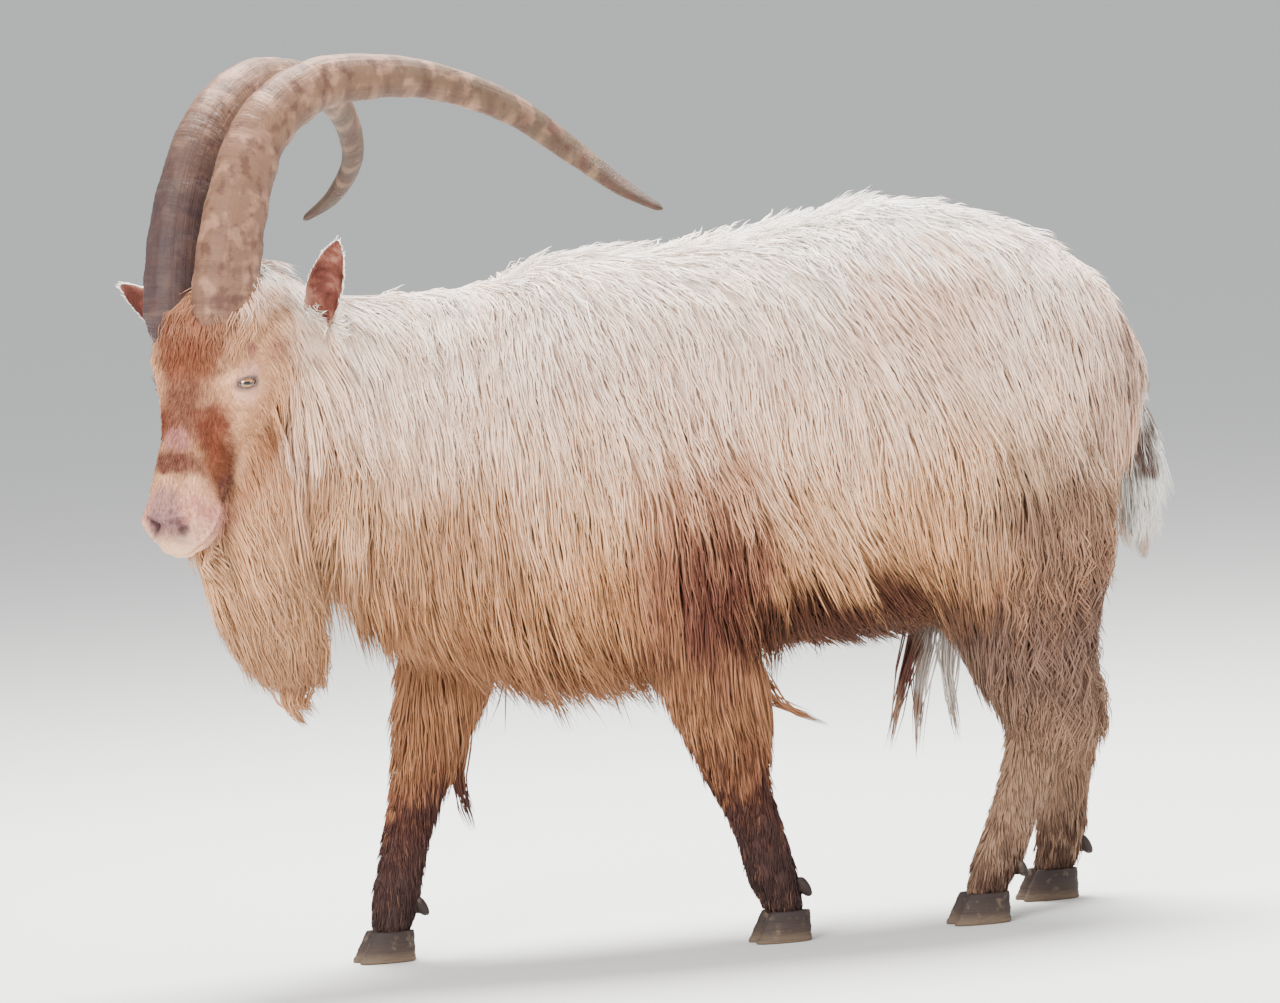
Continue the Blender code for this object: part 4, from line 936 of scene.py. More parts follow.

# Colours of the goat
# One pattern of markings is used for the skin and for the coat, so that hair and skin match everywhere:
# cream with tan under-parts, rusty forehead, pink-grey muzzle and brown legs, with painted shade along the
# belly's lower edge and deep in the nostrils. Screen tones go from 0 to 255.


class Wire:
    """One output of a material's nodes, which can be reckoned with like a number."""

    def __init__(self, socket):
        self.socket = socket

    def node(self, kind, settings, inputs, output=0):
        """Any other node of the same material: its settings first, then values or wires for its sockets."""
        made = self.socket.id_data.nodes.new(kind)
        for title, value in settings.items():
            setattr(made, title, value)
        for title, value in inputs.items():
            if isinstance(value, Wire):
                made.id_data.links.new(value.socket, made.inputs[title])
            else:
                made.inputs[title].default_value = value
        return Wire(made.outputs[output])

    def math(self, operation, *values):
        return self.node("ShaderNodeMath", {"operation": operation}, dict(enumerate((self, *values))))

    def __add__(self, other):
        return self.math("ADD", other)

    __radd__ = __add__

    def __sub__(self, other):
        return self.math("SUBTRACT", other)

    def __rsub__(self, other):
        return self.node("ShaderNodeMath", {"operation": "SUBTRACT"}, {0: other, 1: self})

    def __mul__(self, other):
        return self.math("MULTIPLY", other)

    __rmul__ = __mul__

    def __truediv__(self, other):
        return self.math("DIVIDE", other)

    def __rtruediv__(self, other):
        return self.node("ShaderNodeMath", {"operation": "DIVIDE"}, {0: other, 1: self})

    def vector(self, operation, other=(0, 0, 0), output=0):
        return self.node("ShaderNodeVectorMath", {"operation": operation}, {0: self, 1: other}, output)

    def smooth(self, low, high):
        inputs = {"Value": self, "From Min": low, "From Max": high}
        return self.node("ShaderNodeMapRange", {"interpolation_type": "SMOOTHSTEP"}, inputs)

    def noise(self, scale, detail=2.0, output=0):
        inputs = {"Vector": self, "Scale": scale, "Detail": detail}
        return self.node("ShaderNodeTexNoise", {}, inputs, output)

    def blend(self, colour, share):
        """This colour with a share of another laid over it."""
        return self.node("ShaderNodeMix", {"data_type": "RGBA"}, {0: share, 6: self, 7: colour}, 2)

    def lit(self, light):
        """This colour made lighter or darker by a number."""
        settings = {"data_type": "RGBA", "blend_type": "MULTIPLY"}
        return self.node("ShaderNodeMix", settings, {0: 1.0, 6: self, 7: light}, 2)

    def split(self, axis):
        return self.node("ShaderNodeSeparateXYZ", {}, {0: self}, axis)

    def spot(self, x, y, z):
        return self.node("ShaderNodeCombineXYZ", {}, {0: x, 1: y, 2: z})

    def written(self, title):
        """A number that is written on the points of the mesh."""
        return self.node("ShaderNodeAttribute", {"attribute_name": title}, {}, 2)

    def bands(self, stops):
        """A colour for each value from 0 to 1, through a table of values and tones."""
        made = self.node("ShaderNodeValToRGB", {}, {0: self})
        steps = made.socket.node.color_ramp.elements
        while len(steps) < len(stops):
            steps.new(0.5)
        for step, (value, shade) in zip(steps, stops):
            step.position = value
            step.color = tone(*shade)
        return made


def tone(red, green, blue):
    """A screen tone from 0 to 255 as the light it stands for."""
    return tuple(((value / 255 + 0.055) / 1.055) ** 2.4 for value in (red, green, blue)) + (1.0,)


def paint(name, constants):
    """A material, its shader with the constants set, and the place on the object."""
    made = bpy.data.materials.new(name)
    made.use_nodes = True
    shader = made.node_tree.nodes["Principled BSDF"]
    for title, value in constants.items():
        shader.inputs[title].default_value = value
    return made, shader, Wire(made.node_tree.nodes.new("ShaderNodeTexCoord").outputs["Object"])


def feed(shader, title, wire):
    shader.id_data.links.new(wire.socket, shader.inputs[title])


def bumped(shader, height, strength, distance):
    inputs = {"Strength": strength, "Distance": distance, "Height": height}
    feed(shader, "Normal", height.node("ShaderNodeBump", {}, inputs))


def write_on(mesh, table):
    """Writes a number on each point of a mesh under each title, for the materials to read."""
    for title, values in table.items():
        mesh.attributes.new(title, "FLOAT", "POINT").data.foreach_set("value", values)


# Tones of the coat by height: trunk and neck, fore legs, hind legs
BODY_TONES = (
    (0.35, (170, 120, 84)),
    (0.43, (210, 156, 112)),
    (0.52, (236, 192, 152)),
    (0.64, (250, 218, 194)),
    (0.78, (252, 234, 220)),
    (0.86, (252, 247, 242)),
)
FORE_TONES = (
    (0.04, (60, 44, 42)),
    (0.12, (70, 48, 45)),
    (0.17, (80, 50, 44)),
    (0.21, (132, 86, 62)),
    (0.27, (160, 112, 80)),
    (0.38, (162, 114, 82)),
)
HIND_TONES = (
    (0.04, (84, 62, 52)),
    (0.10, (146, 116, 96)),
    (0.19, (156, 124, 100)),
    (0.25, (138, 108, 90)),
    (0.32, (118, 92, 79)),
    (0.42, (126, 98, 85)),
)
# Patches: tone, middle as x, distance from the mid plane and z, reach in each direction, strength
BODY_MARKS = (
    ((232, 184, 154), (0.31, 0.17, 0.74), (0.12, 0.12, 0.08), 0.50),
    ((212, 176, 156), (0.56, 0.08, 0.62), (0.10, 0.16, 0.13), 0.60),
    ((124, 95, 82), (0.47, 0.10, 0.43), (0.15, 0.16, 0.17), 0.85),
    ((180, 132, 98), (-0.27, 0.05, 0.49), (0.15, 0.18, 0.11), 0.80),
    ((206, 158, 118), (-0.34, 0.06, 0.57), (0.15, 0.14, 0.08), 0.55),
    ((202, 146, 114), (0.02, 0.15, 0.50), (0.10, 0.12, 0.120), 0.62),
    ((158, 102, 78), (0.03, 0.15, 0.450), (0.12, 0.14, 0.150), 0.55),
    ((98, 54, 46), (0.035, 0.13, 0.42), (0.085, 0.12, 0.110), 0.92),
    # A dark band along the lower edge of the belly: painted shade under the barrel
    ((84, 50, 38), (0.19, 0.14, 0.368), (0.20, 0.17, 0.056), 0.95),
    ((204, 194, 186), (0.375, 0.00, 0.310), (0.034, 0.05, 0.080), 0.85),
    ((84, 50, 44), (0.312, 0.00, 0.300), (0.026, 0.05, 0.110), 0.92),
    ((240, 237, 232), (0.640, 0.00, 0.530), (0.075, 0.08, 0.150), 1.00),
    ((126, 96, 86), (0.578, 0.04, 0.640), (0.042, 0.11, 0.056), 0.75),
    ((122, 84, 68), (0.606, 0.00, 0.618), (0.040, 0.09, 0.046), 0.92),
    ((100, 66, 54), (0.634, 0.00, 0.545), (0.020, 0.08, 0.040), 0.90),
    ((236, 237, 236), (-0.520, 0.05, 0.800), (0.060, 0.12, 0.050), 0.90),
    ((198, 152, 116), (-0.490, 0.075, 0.460), (0.130, 0.12, 0.200), 0.75),
    ((200, 146, 106), (-0.520, 0.100, 0.580), (0.110, 0.12, 0.120), 0.80),
    ((236, 196, 166), (-0.480, 0.120, 0.700), (0.100, 0.12, 0.090), 0.70),
    ((184, 134, 98), (-0.440, 0.050, 0.340), (0.080, 0.10, 0.070), 0.60),
)
# The same on the head: places and reaches go along the face, out from its middle line and off the forehead
HEAD_MARKS = (
    ((238, 232, 224), (-0.050, 0.030, 0.000), (0.034, 0.090, 0.080), 0.95),
    ((212, 160, 118), (0.008, 0.030, 0.020), (0.030, 0.060, 0.040), 0.80),
    ((112, 66, 52), (0.132, 0.000, -0.014), (0.074, 0.044, 0.046), 0.92),
    ((152, 98, 74), (0.060, 0.000, 0.004), (0.062, 0.062, 0.050), 0.95),
    ((134, 76, 54), (0.088, 0.014, -0.004), (0.030, 0.034, 0.034), 0.80),
    ((196, 148, 126), (0.102, 0.068, -0.042), (0.028, 0.026, 0.024), 0.90),
    ((170, 112, 106), (0.184, 0.006, -0.026), (0.018, 0.016, 0.022), 0.85),
    ((104, 48, 34), (0.160, 0.032, -0.036), (0.040, 0.028, 0.032), 0.92),
    ((102, 50, 32), (0.194, 0.040, -0.060), (0.036, 0.028, 0.036), 0.94),
    ((92, 52, 44), (0.212, 0.040, -0.088), (0.024, 0.026, 0.022), 0.90),
    ((92, 46, 40), (0.212, 0.000, -0.030), (0.018, 0.044, 0.028), 0.88),
    ((216, 160, 120), (0.120, 0.056, -0.088), (0.054, 0.034, 0.040), 0.80),
    ((172, 118, 100), (0.038, 0.062, -0.068), (0.022, 0.020, 0.022), 0.75),
    ((150, 96, 88), (0.066, 0.058, -0.030), (0.014, 0.016, 0.012), 0.70),
    ((168, 112, 78), (0.150, 0.030, -0.134), (0.110, 0.050, 0.044), 0.90),
    ((196, 132, 122), (0.264, 0.020, -0.074), (0.040, 0.046, 0.050), 0.96),
    ((172, 116, 106), (0.258, 0.020, -0.112), (0.044, 0.046, 0.034), 0.75),
    ((132, 100, 102), (0.266, 0.004, -0.032), (0.030, 0.024, 0.026), 0.75),
    ((120, 88, 90), (0.282, 0.012, -0.052), (0.022, 0.028, 0.024), 0.85),
    ((164, 98, 92), (0.272, 0.022, -0.090), (0.030, 0.040, 0.014), 0.85),
    # Nostrils: their dark skin, with painted shade deep in the slits
    ((62, 42, 46), (0.280, 0.021, -0.052), (0.013, 0.012, 0.014), 0.95),
)
HEAD_TONES = ((0, (214, 164, 128)), (1, (198, 146, 110)))
INNER_EAR_TONES = ((0.36, (76, 40, 34)), (0.50, (108, 62, 52)), (0.64, (152, 106, 92)))


def in_patch(where, middle, reach):
    """1 in the middle of a soft patch and 0 outside it."""
    off = where.vector("SUBTRACT", middle).vector("DIVIDE", reach)
    return off.vector("LENGTH", output=1).smooth(1.20, 0.45)


def in_head(place):
    """A wire of places in the head's own axes, with both sides alike."""
    off = place.vector("SUBTRACT", tuple(POLL))
    along, left, outward = (off.vector("DOT_PRODUCT", tuple(axis), output=1) for axis in HEAD_AXES)
    return off.spot(along, left.math("ABSOLUTE"), outward)


def markings(where, lock):
    """The goat's colour, how far a place is on the head, and where. The lock moves the patches' edges."""
    place = where.vector("SUBTRACT", tuple(SHIFT))
    face = in_head(place)
    on_head = face.vector("SUBTRACT", (0.105, 0, -0.055)).vector("DIVIDE", (0.20, 0.088, 0.112))
    on_head = on_head.vector("LENGTH", output=1).smooth(1.14, 0.88)
    wander = place.noise(16, 3, 1).vector("SUBTRACT", (0.5, 0.5, 0.5))
    strand = place.spot(lock * 0.03 - 0.015, 0, lock * 0.07 - 0.035)
    body = place.vector("ADD", wander.vector("MULTIPLY", (0.10, 0.10, 0.10))).vector("ADD", strand)
    x, z = body.split(0), body.split(2)
    leg = z.smooth(0.40, 0.34) * x.smooth(-0.42, -0.37)
    behind = x.smooth(0.16, 0.24)
    colour = z.bands(BODY_TONES).blend(z.bands(FORE_TONES), leg * (1 - behind))
    colour = colour.blend(z.bands(HIND_TONES), leg * behind)
    both = body.spot(x, body.vector("ABSOLUTE").split(1), z)
    for shade, middle, reach, strength in BODY_MARKS:
        colour = colour.blend(tone(*shade), in_patch(both, middle, reach) * strength)
    near = face.vector("ADD", wander.vector("MULTIPLY", (0.030, 0.030, 0.030)))
    fine = place.noise(70, 2, 1).vector("SUBTRACT", (0.5, 0.5, 0.5))
    near = near.vector("ADD", fine.vector("MULTIPLY", (0.014, 0.014, 0.014)))
    head = place.noise(30, 3).smooth(0.35, 0.65).bands(HEAD_TONES)
    for shade, middle, reach, strength in HEAD_MARKS:
        head = head.blend(tone(*shade), in_patch(near, middle, reach) * strength)
    return colour.blend(head, on_head), on_head, face


# Skin under the coat: the markings, painted darker under long hair as painted shade beneath the coat,
# red-brown in the ears, grey round the lids
cup = np.zeros(len(SKIN))
lid_band = np.zeros(len(SKIN))
for side in (LEFT, RIGHT):
    opening = ear_axes(side)[2]
    mine = ear_place(SKIN, side)[2] < 1
    cup[mine] = smooth_step((SKIN_OUT[mine] * opening).sum(1), -0.05, 0.35)
    along, across, out = eye_plane(to_head(SKIN), side)
    gape = np.hypot(along / OPENING[0], across / OPENING[1])
    lid_band += np.where(out > 0, 1 - smooth_step(gape, 1.10, 1.75), 0)
write_on(skin.data, {"cup": cup, "lid": lid_band, "short": smooth_step(FIELDS[:, 0], 0.040, 0.014)})

hide, shader, where = paint("goat_skin", {"Specular IOR Level": 0.12})
colour, on_head, face = markings(where, where.noise(60) * 0.6 + 0.2)
body_streaks = where.vector("MULTIPLY", (520, 520, 46)).noise(1.0, 2)
head_streaks = face.vector("MULTIPLY", (70, 640, 640)).noise(1.0, 3)
streaks = body_streaks * (1 - on_head) + head_streaks * on_head
# Where the hair is long the skin is painted up to a seventh darker, as painted shade beneath the coat
colour = colour.lit((streaks - 0.5) * (on_head * 0.7 + 0.6) + (where.written("short") * 0.14 + 0.86))
colour = colour.blend(where.noise(38, 4).bands(INNER_EAR_TONES), where.written("cup"))
colour = colour.blend(tone(116, 90, 84), where.written("lid") * 0.8)
wet = in_patch(face, (0.290, 0.016, -0.066), (0.020, 0.030, 0.026))
feed(shader, "Base Color", colour)
feed(shader, "Roughness", 0.74 - wet * 0.34)
pores = where.node("ShaderNodeTexVoronoi", {}, {"Vector": where, "Scale": 900.0}, 0)
bumped(shader, streaks + pores * wet * 0.6, 0.8, 0.0022)
skin.data.materials.clear()
skin.data.materials.append(hide)
skin.data.polygons.foreach_set("material_index", np.zeros(len(skin.data.polygons), int))

# Guide hairs
# One hair in the middle of each lock leads the rest. It leaves the skin low, turns to the lie of the place
# it is over, sinks under its own weight, and keeps its own height in the coat.
# Guides stand closer than the given gap, so more roots are drawn than fit and the ones too close are dropped
SPARE_ROOTS = 1.7
CROWDING = 0.72
rng = np.random.default_rng(5)
corners = SKIN[SKIN_FACES]
AREAS = np.linalg.norm(np.cross(corners[:, 1] - corners[:, 0], corners[:, 2] - corners[:, 0]), axis=1) / 2
FACE_FIELDS = FIELDS[SKIN_FACES].mean(1)
FACE_OWNER = OWNER[SKIN_FACES[:, 0]]


def tree_of(points):
    """Points sorted so that the ones near a place are found quickly."""
    tree = KDTree(len(points))
    for index, point in enumerate(points.tolist()):
        tree.insert(point, index)
    tree.balance()
    return tree


def roots_on(weights, count):
    """Random places on the skin: point, outward direction and the coat's fields there."""
    chosen = np.searchsorted(np.cumsum(weights), rng.random(count) * weights.sum())
    shares = rng.dirichlet((1, 1, 1), count)
    hit = SKIN_FACES[chosen]
    point, out, field = (np.einsum("nc,ncd->nd", shares, table[hit]) for table in (SKIN, SKIN_OUT, FIELDS))
    return point, unit(out), field


def grown(roots, outs, fields, layer, steps=8):
    """Paths of hairs that start on the skin and fall over it."""
    near_skin = tree_of(SKIN)
    length, lift = fields[:, :1], np.interp(fields[:, 0], [0.006, 0.02, 0.1], [0.30, 0.38, 0.30])[:, None]
    way = unit(fields[:, 5:] + outs * lift + rng.normal(0, 0.06, roots.shape))
    path = [roots - outs * 0.0006]
    for step in range(1, steps + 1):
        share = step / steps
        point = path[-1] + way * length / steps
        near = np.array([near_skin.find(spot)[1] for spot in point.tolist()])
        out, field = SKIN_OUT[near], FIELDS[near]
        height = ((point - SKIN[near]) * out).sum(1)
        wanted = np.minimum(field[:, 1] * 1.1, fields[:, 1] * 1.6) * layer * share**0.7
        over_it = np.linalg.norm(point - SKIN[near], axis=1) < field[:, 1] * 1.6 + 0.012
        push = np.where(over_it, np.maximum(wanted * 0.8 - height, 0), np.maximum(0.001 - height, 0))
        pull = np.where(over_it & (out[:, 2] > -0.5), np.minimum(wanted * 1.25 - height, 0) * 0.5, 0)
        point = point + out * (push + pull)[:, None]
        path.append(point)
        hold = np.exp(-np.maximum(height, 0) / 0.035)[:, None] * 0.9
        weight = np.interp(fields[:, 0], [0.015, 0.08], [0.02, 0.30])[:, None]
        way = unit(way + field[:, 5:] * hold - UP * weight)
    return np.stack(path, 1)


def guide_gap(length):
    """How far apart guides stand where the hair has a length."""
    return 0.0052 + 0.115 * length


guide_weights = AREAS / guide_gap(FACE_FIELDS[:, 0]) ** 2 * (FACE_FIELDS[:, 4] > 0)
start, out, field = roots_on(guide_weights, int(guide_weights.sum() * SPARE_ROOTS))
spacing = guide_gap(field[:, 0])
crowd = tree_of(start)
kept = np.ones(len(start), bool)
for index, point in enumerate(start.tolist()):
    if kept[index]:
        for _, other, _ in crowd.find_range(point, spacing[index] * CROWDING):
            if other > index:
                kept[other] = False
start, out, field = start[kept], out[kept], field[kept]
GUIDE_LAYER = 0.35 + 0.65 * rng.random(len(start)) ** 0.7
field[:, 0] *= 1 + (rng.random(len(start)) * 0.56 - 0.32) * smooth_step(field[:, 0], 0.02, 0.06)
GUIDES = grown(start, out, field, GUIDE_LAYER)
GUIDE_OUT = out
GUIDE_TONE = rng.random(len(start))
GUIDE_PHASE = rng.random(len(start)) * 2 * math.pi
lead = tree_of(start)

# The coat in tufts
# The hair itself: thin tapered tufts, each a closed three-sided blade. They follow the four guide hairs next
# to them, draw together towards the tips into locks, and each has its own small patch of the unwrapped skin.
PATCH = 0.003
# Width of a blade from its root to just before its point, and how thick it is for its width
BLADE = (0.55, 0.90, 1.0, 0.84, 0.58, 0.32)
BLADE_THICKNESS = 0.30


def blade_faces(rings):
    """Triangles of one closed three-sided blade with a point at its end."""
    faces = [(0, 2, 1)]
    for ring in range(rings - 1):
        for corner in range(3):
            a, b = ring * 3 + corner, ring * 3 + (corner + 1) % 3
            faces += [(a, b, b + 3), (a, b + 3, a + 3)]
    last = (rings - 1) * 3
    return np.array(faces + [(last + corner, last + (corner + 1) % 3, last + 3) for corner in range(3)])


def tuft_paths(roots, outs, fields, rings, draw):
    """Centre lines of the tufts between the guides, and which guide each follows."""
    found = [lead.find_n(point, 4) for point in roots.tolist()]
    index = np.array([[item[1] for item in row] for row in found])
    gap = np.array([[item[2] for item in row] for row in found])
    alike = np.maximum((GUIDE_OUT[index] * outs[:, None]).sum(2), 0.02) ** 3
    pull = alike / (gap + 0.002) ** 2
    pull /= pull.sum(1, keepdims=True)
    shares = np.linspace(0, 1, rings + 1) ** 0.9
    slot = shares * (GUIDES.shape[1] - 1)
    lower = np.minimum(slot.astype(int), GUIDES.shape[1] - 2)
    part = (slot - lower)[None, None, :, None]
    tracks = GUIDES[index][:, :, lower] * (1 - part) + GUIDES[index][:, :, lower + 1] * part
    moves = tracks - GUIDES[index][:, :, :1]
    move = (moves * pull[:, :, None, None]).sum(1)
    best = np.argmax(pull, 1)
    rows = np.arange(len(roots))
    chief = tracks[rows, best]
    run = np.linalg.norm(np.diff(move, axis=1), axis=2).sum(1)
    scale = (fields[:, 0] / np.maximum(run, 1e-4))[:, None, None]
    reach = np.clip(scale, 0.6, 1.3) * (0.62 + 0.50 * rng.random((len(roots), 1, 1)))
    path = roots[:, None] - outs[:, None] * 0.0008 + move * reach
    close = draw * np.interp(fields[:, 0], [0.05, 0.09, 0.15], [1.0, 0.5, 1.15])[:, None, None]
    gathered = close * (0.45 + 0.55 * rng.random((len(roots), 1, 1))) * (shares**1.4)[None, :, None]
    path = path * (1 - gathered) + chief * gathered
    along = unit(path[:, -1] - path[:, 0])
    aside = unit(np.cross(along, outs))
    turn = GUIDE_PHASE[index[rows, best]][:, None] + rng.normal(0, 0.5, (len(roots), 1))
    waves = fields[:, :1] * shares[None] / (0.030 + 0.25 * fields[:, :1]) * 2 * math.pi
    swing = np.sin(waves + turn) * fields[:, 3:4] * shares[None] ** 0.6
    bob = np.cos(waves * 1.1 + turn) * fields[:, 3:4] * 0.5 * shares[None] ** 0.6
    path = path + aside[:, None] * swing[:, :, None] + outs[:, None] * bob[:, :, None]
    stray = rng.normal(0, 1, (len(roots), 1, 3)) * (fields[:, :1] * 0.022 + 0.0004)[:, None]
    return path + stray * shares[None, :, None], index[rows, best]


def hair_object(name, part, roots, paths, outs, widths, tones, clumps):
    """One piece of the coat: a blade along each path, its tone and its patch on the unwrapped skin."""
    rings, count = paths.shape[1] - 1, len(roots)
    along = unit(np.gradient(paths, axis=1))
    roll = rng.normal(0, 0.55, (count, 1, 1))
    aside = unit(np.cross(along, outs[:, None]))
    above = np.cross(aside, along)
    flat = aside * np.cos(roll) + above * np.sin(roll)
    tall = above * np.cos(roll) - aside * np.sin(roll)
    taper = np.interp(np.linspace(0, 1, rings + 1)[:-1], np.linspace(0, 1, len(BLADE)), BLADE)
    wide = (widths[:, None] * taper)[:, :, None]
    ring = paths[:, :-1]
    flat, tall = flat[:, :-1] * wide / 2, tall[:, :-1] * wide * BLADE_THICKNESS
    points = np.stack([ring - flat - tall, ring + flat - tall, ring + tall], 2).reshape(count, rings * 3, 3)
    points = np.concatenate([points, paths[:, -1:]], 1)
    blade = blade_faces(rings)
    corners = (blade[None] + np.arange(count)[:, None, None] * (rings * 3 + 1)).ravel()
    station, turn, _ = PLACES[part](roots)
    turn = np.where(turn < -math.pi * 0.98, turn + 2 * math.pi, turn)
    across = np.array([0.0, 1.0, 0.5] * rings + [0.5])
    up_patch = np.append(np.repeat(np.arange(rings) / rings, 3), 1.0)
    spots = []
    for value, patch in ((station, across), (turn, up_patch)):
        value = (value - value.min()) / (np.ptp(value) + 1e-9)
        spots.append((0.005 + 0.987 * value)[:, None] + PATCH * patch[None])
    mesh = bpy.data.meshes.new(name)
    mesh.vertices.add(count * (rings * 3 + 1))
    mesh.vertices.foreach_set("co", (points + SHIFT).ravel())
    mesh.loops.add(len(corners))
    mesh.loops.foreach_set("vertex_index", corners)
    mesh.polygons.add(len(corners) // 3)
    mesh.polygons.foreach_set("loop_start", np.arange(0, len(corners), 3))
    mesh.polygons.foreach_set("use_smooth", np.ones(len(corners) // 3, bool))
    mesh.update(calc_edges=True)
    chart = mesh.uv_layers.new(name="OFBake")
    chart.uv.foreach_set("vector", np.stack(spots, 2).reshape(-1, 2)[corners].ravel())
    each = rings * 3 + 1
    tones, clumps = np.repeat(tones, each), np.repeat(clumps, each)
    write_on(mesh, {"tone": tones, "lock": clumps, "along": np.tile(up_patch, count)})
    made = bpy.data.objects.new(name, mesh)
    bpy.context.scene.collection.objects.link(made)
    return made


fleece, shader, where = paint("goat_coat", {"Roughness": 0.70, "Specular IOR Level": 0.14})
own, lock, along = (where.written(title) for title in ("tone", "lock", "along"))
colour, _, _ = markings(where, lock)
chart = where.node("ShaderNodeUVMap", {"uv_map": "OFBake"}, {})
strands = chart.vector("MULTIPLY", (2400, 300, 0)).noise(1.0, 2)
# Each blade is painted up to a tenth darker near its root, as painted shade deep in the coat; tone, lock and
# strands vary it at random
light = (own * 0.16 + lock * 0.08 + 0.86) * (along.smooth(0.0, 0.30) * 0.10 + 0.90) * (strands * 0.3 + 0.85)
colour = colour.blend(tone(176, 132, 96), (own * lock).smooth(0.45, 0.95) * 0.22)
feed(shader, "Base Color", colour.lit(light))
bumped(shader, strands, 0.4, 0.0006)

# Piece, node it dresses, part of the skin, limits, tufts, rings of each blade, how far locks draw together.
# A limit is on x, y, z or the way to the head's own right, with what it starts from and what it stays under.
X, Y, Z, HEADS_RIGHT = range(4)
NEAR_SIDE, FAR_SIDE = (Y, -FAR_OFF, 0.0), (Y, 0.0, FAR_OFF)
CHEST, BARREL, RUMP = (X, -FAR_OFF, 0.0), (X, 0.0, 0.30), (X, 0.30, FAR_OFF)
FOREARM, FORE_SHANK = (Z, 0.215, FAR_OFF), (Z, -FAR_OFF, 0.215)
THIGH, HIND_SHANK = (Z, 0.235, FAR_OFF), (Z, -FAR_OFF, 0.235)
COAT = (
    ("trunk_front_left", "torso_front", "trunk", (NEAR_SIDE, CHEST), 3600, 4, 0.50),
    ("trunk_middle_left", "torso_middle", "trunk", (NEAR_SIDE, BARREL), 4200, 4, 0.50),
    ("trunk_rear_left", "torso_rear", "trunk", (NEAR_SIDE, RUMP), 4000, 4, 0.50),
    ("trunk_front_right", "torso_front", "trunk", (FAR_SIDE, CHEST), 2800, 4, 0.50),
    ("trunk_middle_right", "torso_middle", "trunk", (FAR_SIDE, BARREL), 3200, 4, 0.50),
    ("trunk_rear_right", "torso_rear", "trunk", (FAR_SIDE, RUMP), 3000, 4, 0.50),
    ("neck_left", "neck", "neck", ((Y, -FAR_OFF, -0.03),), 5600, 4, 0.50),
    ("neck_right", "neck", "neck", ((Y, -0.03, FAR_OFF),), 4000, 4, 0.50),
    ("beard", "beard", "beard", (), 4200, 5, 0.55),
    ("tail", "tail", "tail", (), 1500, 4, 0.50),
    ("thigh_left", "hind_left_upper", "hind_left", (THIGH,), 3600, 5, 0.75),
    ("thigh_right", "hind_right_upper", "hind_right", (THIGH,), 3000, 5, 0.75),
    ("forearm_left", "fore_left_upper", "fore_left", (FOREARM,), 2200, 4, 0.50),
    ("forearm_right", "fore_right_upper", "fore_right", (FOREARM,), 2000, 4, 0.50),
    ("shank_fore_left", "fore_left_lower", "fore_left", (FORE_SHANK,), 2000, 3, 0.25),
    ("shank_fore_right", "fore_right_lower", "fore_right", (FORE_SHANK,), 2000, 3, 0.25),
    ("shank_hind_left", "hind_left_lower", "hind_left", (HIND_SHANK,), 2200, 3, 0.25),
    ("shank_hind_right", "hind_right_lower", "hind_right", (HIND_SHANK,), 2200, 3, 0.25),
    ("head_left", "head", "head", ((HEADS_RIGHT, -FAR_OFF, 0.0),), 7600, 3, 0.30),
    ("head_right", "head", "head", ((HEADS_RIGHT, 0.0, FAR_OFF),), 5600, 3, 0.30),
    ("ear_left", "ear_left", "ear_left", (), 900, 3, 0.20),
    ("ear_right", "ear_right", "ear_right", (), 700, 3, 0.20),
)
middles = corners.mean(1)
measures = (*middles.T, -to_head(middles)[:, 1])
for name, node, part, limits, count, rings, draw in COAT:
    weights = AREAS * (FACE_OWNER == PARTS.index(part)) * FACE_FIELDS[:, 4]
    for measure, low, high in limits:
        weights = weights * ((measures[measure] >= low) & (measures[measure] < high))
    weights = weights / np.interp(FACE_FIELDS[:, 0], [0.008, 0.03, 0.12], [0.5, 0.8, 1.2])
    roots, outs, fields = roots_on(weights, count)
    paths, follows = tuft_paths(roots, outs, fields, rings, draw)
    widths = fields[:, 2] * (0.65 + 0.75 * rng.random(count))
    tones, clumps = rng.random(count), GUIDE_TONE[follows]
    piece = hair_object(f"coat_{name}", part, roots, paths, outs, widths, tones, clumps)
    piece.data.materials.append(fleece)
    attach(piece, "root")
    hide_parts(node)

# Wisps
# A few loose hanks of hair hang below the coat: in front of the thigh, at the near elbow and behind the far
# knee. They are made of the same blades as the coat, and draw together to a point.
# Middle of the hank, how far it falls, how far it drifts back, hairs in it, tone
HANKS = (
    ((0.345, -0.012, 0.415), 0.205, -0.056, 46, 0.05),
    ((0.362, 0.010, 0.415), 0.215, -0.030, 44, 0.85),
    ((0.372, -0.016, 0.415), 0.200, 0.004, 44, 0.50),
    ((0.384, 0.006, 0.418), 0.155, 0.040, 40, 0.75),
    ((0.094, -0.100, 0.322), 0.070, 0.090, 22, 0.10),
    ((-0.218, 0.092, 0.300), 0.155, 0.012, 30, 0.05),
    ((-0.224, 0.108, 0.290), 0.125, 0.024, 40, 0.12),
    ((-0.470, -0.060, 0.372), 0.070, 0.022, 50, 0.60),
    ((-0.452, -0.048, 0.366), 0.056, 0.018, 40, 0.40),
)
HANK_SPREAD = (0.011, 0.008, 0.006)
HANK_HAIR = 0.0024
starts, trails, colours = [], [], []
